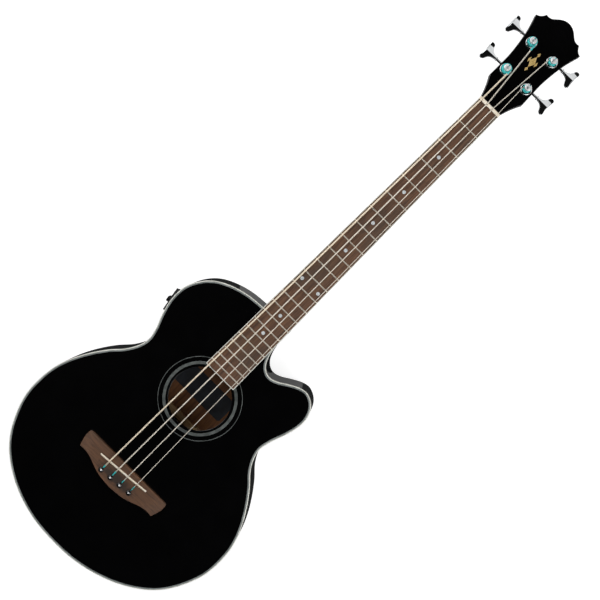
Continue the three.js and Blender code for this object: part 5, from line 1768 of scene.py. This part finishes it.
def plate_screws(i):
    """Four screws hold the plate to the back of the headstock and one holds the wheel on its post."""
    turned_over = Matrix.Rotation(math.pi, 4, "X")
    screws = [screw(Matrix.Translation((x, y, PLATE_FACE)) @ turned_over)
              for x in (SCREW_MARGIN - PLATE_HALF, PLATE_HALF - SCREW_MARGIN)
              for y in (SCREW_MARGIN - PLATE_LOW, PLATE_HIGH - SCREW_MARGIN)]
    piece(joined(*screws), f"tuner_screws_{i + 1}", chrome, place=tuner_place(i), crisp=30)
    centre = screw(Matrix.Translation((0, 0, WHEEL_FACE)) @ turned_over)
    piece(centre, f"wheel_screw_{i + 1}", plain_steel, place=tuner_place(i), body=f"post_{i + 1}", crisp=30)


for number in range(len(TUNERS)):
    ferrule(number)
    post(number)
    worm_wheel(number)
    key(number)
    plate_screws(number)
    dressed(f"tuner_plate_{number + 1}", chrome, width=0.35)
print("four tuners mounted")

# %% [markdown]
# ## Preamp and output socket
# The preamp sits in the bass rib behind a grained plastic panel. Its three knobs are ribbed so that a thumb
# can turn them, and each has a white line. Below them a door with a finger grip closes the battery bay.
# The output socket at the tail is a turned metal tube that also holds the strap.

# %% Panel, door and battery
dressed("preamp_housing", panel_plastic, width=0.6)
dressed("battery_door", panel_plastic, width=0.4, body="door")
battery_jacket = clouded("printed_battery_jacket", "battery_case", "2c2d30", "3a3b3f", 10, 0.25, 0.35,
                         Metallic=0.5)
dressed("battery", battery_jacket, width=1.2)

DOOR_FACE = 4.9
GRIP_RIBS = 5
GRIP_START = -52.6
GRIP_SPACING = 1.1
GRIP_HALF = 6


def door_grip():
    """Five raised ribs near the free edge of the door, for a fingertip."""
    levels = [GRIP_START + k * GRIP_SPACING for k in range(GRIP_RIBS)]
    grip = [block((DOOR_FACE - 0.2, -GRIP_HALF, z - 0.25), (DOOR_FACE + 0.35, GRIP_HALF, z + 0.25))
            for z in levels]
    piece(joined(*[eased(rib, 0.12) for rib in grip]), "battery_door_grip", panel_plastic, place=WALL,
          body="door")


door_grip()
print("panel and door dressed")

# %% Knobs
KNOB_RADIUS = 4.3
KNOB_HEIGHT = 4.2
KNOB_RIBS = 24
KNOB_GROOVE = 0.28
STEM_RADIUS = 1.4


def knob(k):
    """Ribbed knob with a dished top and a white line."""
    stand = WALL.copy()
    stand.translation = joints[f"knob_{k}_turn"]["pos_m"]
    stand = stand @ Matrix.Rotation(math.pi / 2, 4, "Y")
    plan = []
    for step in range(KNOB_RIBS * 4):
        radius = KNOB_RADIUS - (KNOB_GROOVE if step % 4 in (0, 3) else 0)
        angle = math.tau * step / (KNOB_RIBS * 4)
        plan.append(Vector((radius * math.cos(angle), radius * math.sin(angle), 0)))
    grip = slab(plan, SEAT_GAP, KNOB_HEIGHT - 0.5)
    cap = spun([(0, KNOB_HEIGHT - 0.6), (KNOB_RADIUS - 0.3, KNOB_HEIGHT - 0.6),
                (KNOB_RADIUS - 0.35, KNOB_HEIGHT - 0.2), (KNOB_RADIUS - 0.8, KNOB_HEIGHT),
                (KNOB_RADIUS - 1.6, KNOB_HEIGHT - 0.25), (0, KNOB_HEIGHT - 0.35)])
    stem = cylinder(STEM_RADIUS, -6, 1)
    piece(joined(grip, cap, stem), f"preamp_knob_{k}_ribbed", pin_plastic, place=stand, body=f"knob_{k}",
          stands_for=[f"preamp_knob_{k}"])
    line = block((-0.3, 1.2, KNOB_HEIGHT - 0.6), (0.3, KNOB_RADIUS - 0.7, KNOB_HEIGHT + 0.05))
    piece(eased(line, 0.08), f"preamp_knob_{k}_line", white_dot, place=stand, body=f"knob_{k}")


for number in (1, 2, 3):
    knob(number)
print("three knobs fitted")

# %% Output socket
SOCKET_FOOT = -36
BUTTON_TOP = 12
PLUG_RADIUS = 3.25
PLUG_FOOT = -18


def output_socket():
    """Turned socket: flange, waist for the strap, rounded button and a deep bore."""
    profile = [(0, SOCKET_FOOT), (JACK_RADIUS - 0.5, SOCKET_FOOT), (JACK_RADIUS, SOCKET_FOOT + 0.5),
               (JACK_RADIUS, 0.3), (8.1, 0.3), (8.5, 0.8), (8.5, 1.6), (8.0, 2.2), (6.2, 2.4),
               (JACK_RADIUS, 3.2), (JACK_RADIUS, 7.6), (6.3, 8.7), (7.3, 9.3), (7.6, 10), (7.6, 11),
               (7.2, 11.7), (6.4, BUTTON_TOP), (3.7, BUTTON_TOP), (PLUG_RADIUS, BUTTON_TOP - 0.4),
               (PLUG_RADIUS, PLUG_FOOT), (0, PLUG_FOOT)]
    piece(spun(profile), "endpin_jack_turned", chrome, place=LAID @ JACK, stands_for=["endpin_jack"],
          crisp=30)


output_socket()
print("output socket turned")

# %% [markdown]
# ## Floor, walls and light
# The guitar lies on a pale studio floor. Black lacquer shows nothing but reflections, so the light is placed
# by what each surface mirrors. The flat top mirrors the ceiling straight above, which stays dark. A high
# soft box on either side of that lights the woods, the frets and the inside through the soundhole. A wide,
# dim one beyond the headstock is what the keys mirror. Two low ones fill the sides.
# The camera sees floor and walls as white, and so do mirrors, except for the floor in the shade of the
# guitar, which is painted darker for mirrors only. Two painted reflection patches in that shade, beside the
# neck joint, are seen only by mirrors and show as pale reflections in the ribs that face the headstock.

# %% Two painted reflection patches
# Painted reflection patches on the floor, seen only by mirrors: middle and half width in metres across the
# guitar, where they start along it, and how white they are.
REFLECTION_PATCHES = [(-0.041, 0.041), (0.0795, 0.0235)]
PATCH_START = 0.22
PATCH_WHITE = 0.11


def painted_reflection_patches(material, place):
    """How white the painted reflection patches are at a place on the floor; 0 beside them."""
    parts = add_node(material, "ShaderNodeSeparateXYZ", {0: place})
    first, second = [
        add_node(material, "ShaderNodeMath", {0: parts.outputs["X"], 1: middle, 2: half},
                 operation="COMPARE")
        for middle, half in REFLECTION_PATCHES]
    either = add_node(material, "ShaderNodeMath", {0: first.outputs[0], 1: second.outputs[0]},
                      operation="MAXIMUM")
    ahead = add_node(material, "ShaderNodeMath", {0: parts.outputs["Y"], 1: PATCH_START},
                     operation="GREATER_THAN")
    in_patch = add_node(material, "ShaderNodeMath", {0: either.outputs[0], 1: ahead.outputs[0]},
                    operation="MULTIPLY")
    white = add_node(material, "ShaderNodeMath", {0: in_patch.outputs[0], 1: PATCH_WHITE}, operation="MULTIPLY")
    return white.outputs[0]


print("cards", [f"{2000 * half:.0f} mm" for _, half in REFLECTION_PATCHES], "wide")

# %% Floor
FLOOR_SIZE = 9
# A hair below the guitar, so that the two don't touch.
FLOOR_LEVEL = -0.0004
# White added to the paper near the guitar and far from it, where the lamps reach less, and these distances.
FLOOR_LIFTS = (0.86, 1.0)
FLOOR_RANGE = (1.2, 2.6)
SHADE_REACH = 0.3


def pale_floor():
    """Matt grey-white paper; white is added to it for what the camera, mirrors and glass see."""
    material = new_finish("pale_floor_paper", "", Roughness=0.9, Emission_Color=(1, 1, 1, 1))
    place = add_node(material, "ShaderNodeTexCoord")
    tooth = add_node(material, "ShaderNodeTexNoise",
                     {"Vector": place.outputs["Object"], "Scale": per_metre(30), "Detail": 3.0})
    tone = add_node(material, "ShaderNodeMix",
                    {FACTOR: tooth.outputs["Fac"], FIRST: hex_colour("b4b4b4"), SECOND: hex_colour("bababa")},
                    data_type="RGBA")
    path = add_node(material, "ShaderNodeLightPath")
    shade = add_node(material, "ShaderNodeAmbientOcclusion", {"Distance": SHADE_REACH}, samples=8)
    open_floor = add_node(material, "ShaderNodeMapRange",
                          {"Value": shade.outputs["AO"], "From Min": 0.8, "From Max": 1.0})
    # Painted reflection: the patches are whiter than the shade around them, and only mirrors see them.
    unshaded_or_painted_patch = add_node(material, "ShaderNodeMath",
                        {0: open_floor.outputs["Result"], 1: painted_reflection_patches(material, place.outputs["Object"])},
                        operation="MAXIMUM")
    # Painted shade: in a mirror the paper's colour darkens towards near black where ambient occlusion finds
    # the guitar's shade, except on the painted reflection patches; to the camera its own colour stays.
    visible = add_node(material, "ShaderNodeMix",
                       {0: path.outputs["Is Glossy Ray"], 2: 1.0, 3: unshaded_or_painted_patch.outputs[0]},
                       data_type="FLOAT")
    paper_seen = add_node(material, "ShaderNodeMix",
                          {FACTOR: visible.outputs[0], FIRST: hex_colour("2b2d2d"),
                           SECOND: tone.outputs[MIXED]}, data_type="RGBA")
    feed(material, paper_seen.outputs[MIXED], "Base Color")
    # Painted shade as well: the white added for mirrors fades where ambient occlusion finds shade.
    mirrored = add_node(material, "ShaderNodeMath",
                        {0: path.outputs["Is Glossy Ray"], 1: unshaded_or_painted_patch.outputs[0]},
                        operation="MULTIPLY")
    seen = add_node(material, "ShaderNodeMath",
                    {0: path.outputs["Is Camera Ray"], 1: path.outputs["Is Transmission Ray"]},
                    operation="MAXIMUM")
    either = add_node(material, "ShaderNodeMath", {0: seen.outputs[0], 1: mirrored.outputs[0]},
                      operation="MAXIMUM")
    reach = add_node(material, "ShaderNodeVectorMath", {0: place.outputs["Object"]}, operation="LENGTH")
    lift = add_node(material, "ShaderNodeMapRange",
                    {"Value": reach.outputs["Value"], "From Min": FLOOR_RANGE[0], "From Max": FLOOR_RANGE[1],
                     "To Min": FLOOR_LIFTS[0], "To Max": FLOOR_LIFTS[1]})
    share = add_node(material, "ShaderNodeMath", {0: either.outputs[0], 1: lift.outputs["Result"]},
                     operation="MULTIPLY")
    feed(material, share.outputs[0], "Emission Strength")
    return material


bm = bmesh.new()
bmesh.ops.create_grid(bm, x_segments=2, y_segments=2, size=FLOOR_SIZE / 2)
floor = loose_object(bm, "floor")
floor.data.materials.append(pale_floor())
floor.data.transform(Matrix.Translation((0, 0, FLOOR_LEVEL)))
print("floor laid")

# %% Room


def room():
    """Pale walls to a little above the horizon and a dark ceiling; the camera sees white everywhere."""
    world = bpy.data.worlds.new("studio_room")
    scene.world = world
    world.use_nodes = True
    background = world.node_tree.nodes["Background"]
    place = add_node(world, "ShaderNodeTexCoord")
    parts = add_node(world, "ShaderNodeSeparateXYZ", {0: place.outputs["Generated"]})
    ceiling = add_node(world, "ShaderNodeMapRange",
                       {"Value": parts.outputs["Z"], "From Min": 0.05, "From Max": 0.2,
                        "To Min": 0.85, "To Max": 0.006}, interpolation_type="SMOOTHSTEP")
    path = add_node(world, "ShaderNodeLightPath")
    level_seen = add_node(world, "ShaderNodeMix",
                          {0: path.outputs["Is Camera Ray"], 2: ceiling.outputs["Result"], 3: 1.0},
                          data_type="FLOAT")
    world.node_tree.links.new(level_seen.outputs[0], background.inputs["Strength"])
    background.inputs["Color"].default_value = (1, 1, 1, 1)


room()
print("room made")

# %% Soft boxes
# Place and size in metres, and power in watts.
SOFT_BOXES = {
    "bass": ((-1.8, 0.3, 2.75), (1.6, 2.5), 34),
    "treble": ((1.8, 0.3, 2.75), (1.6, 2.5), 31),
    "left": ((-2.3, 1.6, 1.9), (1.6, 1.6), 26),
    "right": ((2.4, 0.9, 2.1), (1.6, 1.6), 21),
    "head": ((0, 3.0, 1.58), (3.5, 1.2), 10.5),
}
LIT_MIDDLE = LAID @ Vector((0, 300, 0))


def soft_box(name, place, size, power):
    """A large rectangular light aimed at the middle of the guitar."""
    lamp = bpy.data.objects.new(name, bpy.data.lights.new(name, "AREA"))
    lamp.data.shape = "RECTANGLE"
    lamp.data.size, lamp.data.size_y = size
    lamp.data.energy = power
    lamp.location = place
    lamp.rotation_euler = (LIT_MIDDLE - Vector(place)).to_track_quat("-Z", "Y").to_euler()
    scene.collection.objects.link(lamp)


for box_name, box_values in SOFT_BOXES.items():
    soft_box(f"soft_box_{box_name}", *box_values)
scene.view_settings.view_transform = "Standard"
print(len(SOFT_BOXES), "soft boxes placed")
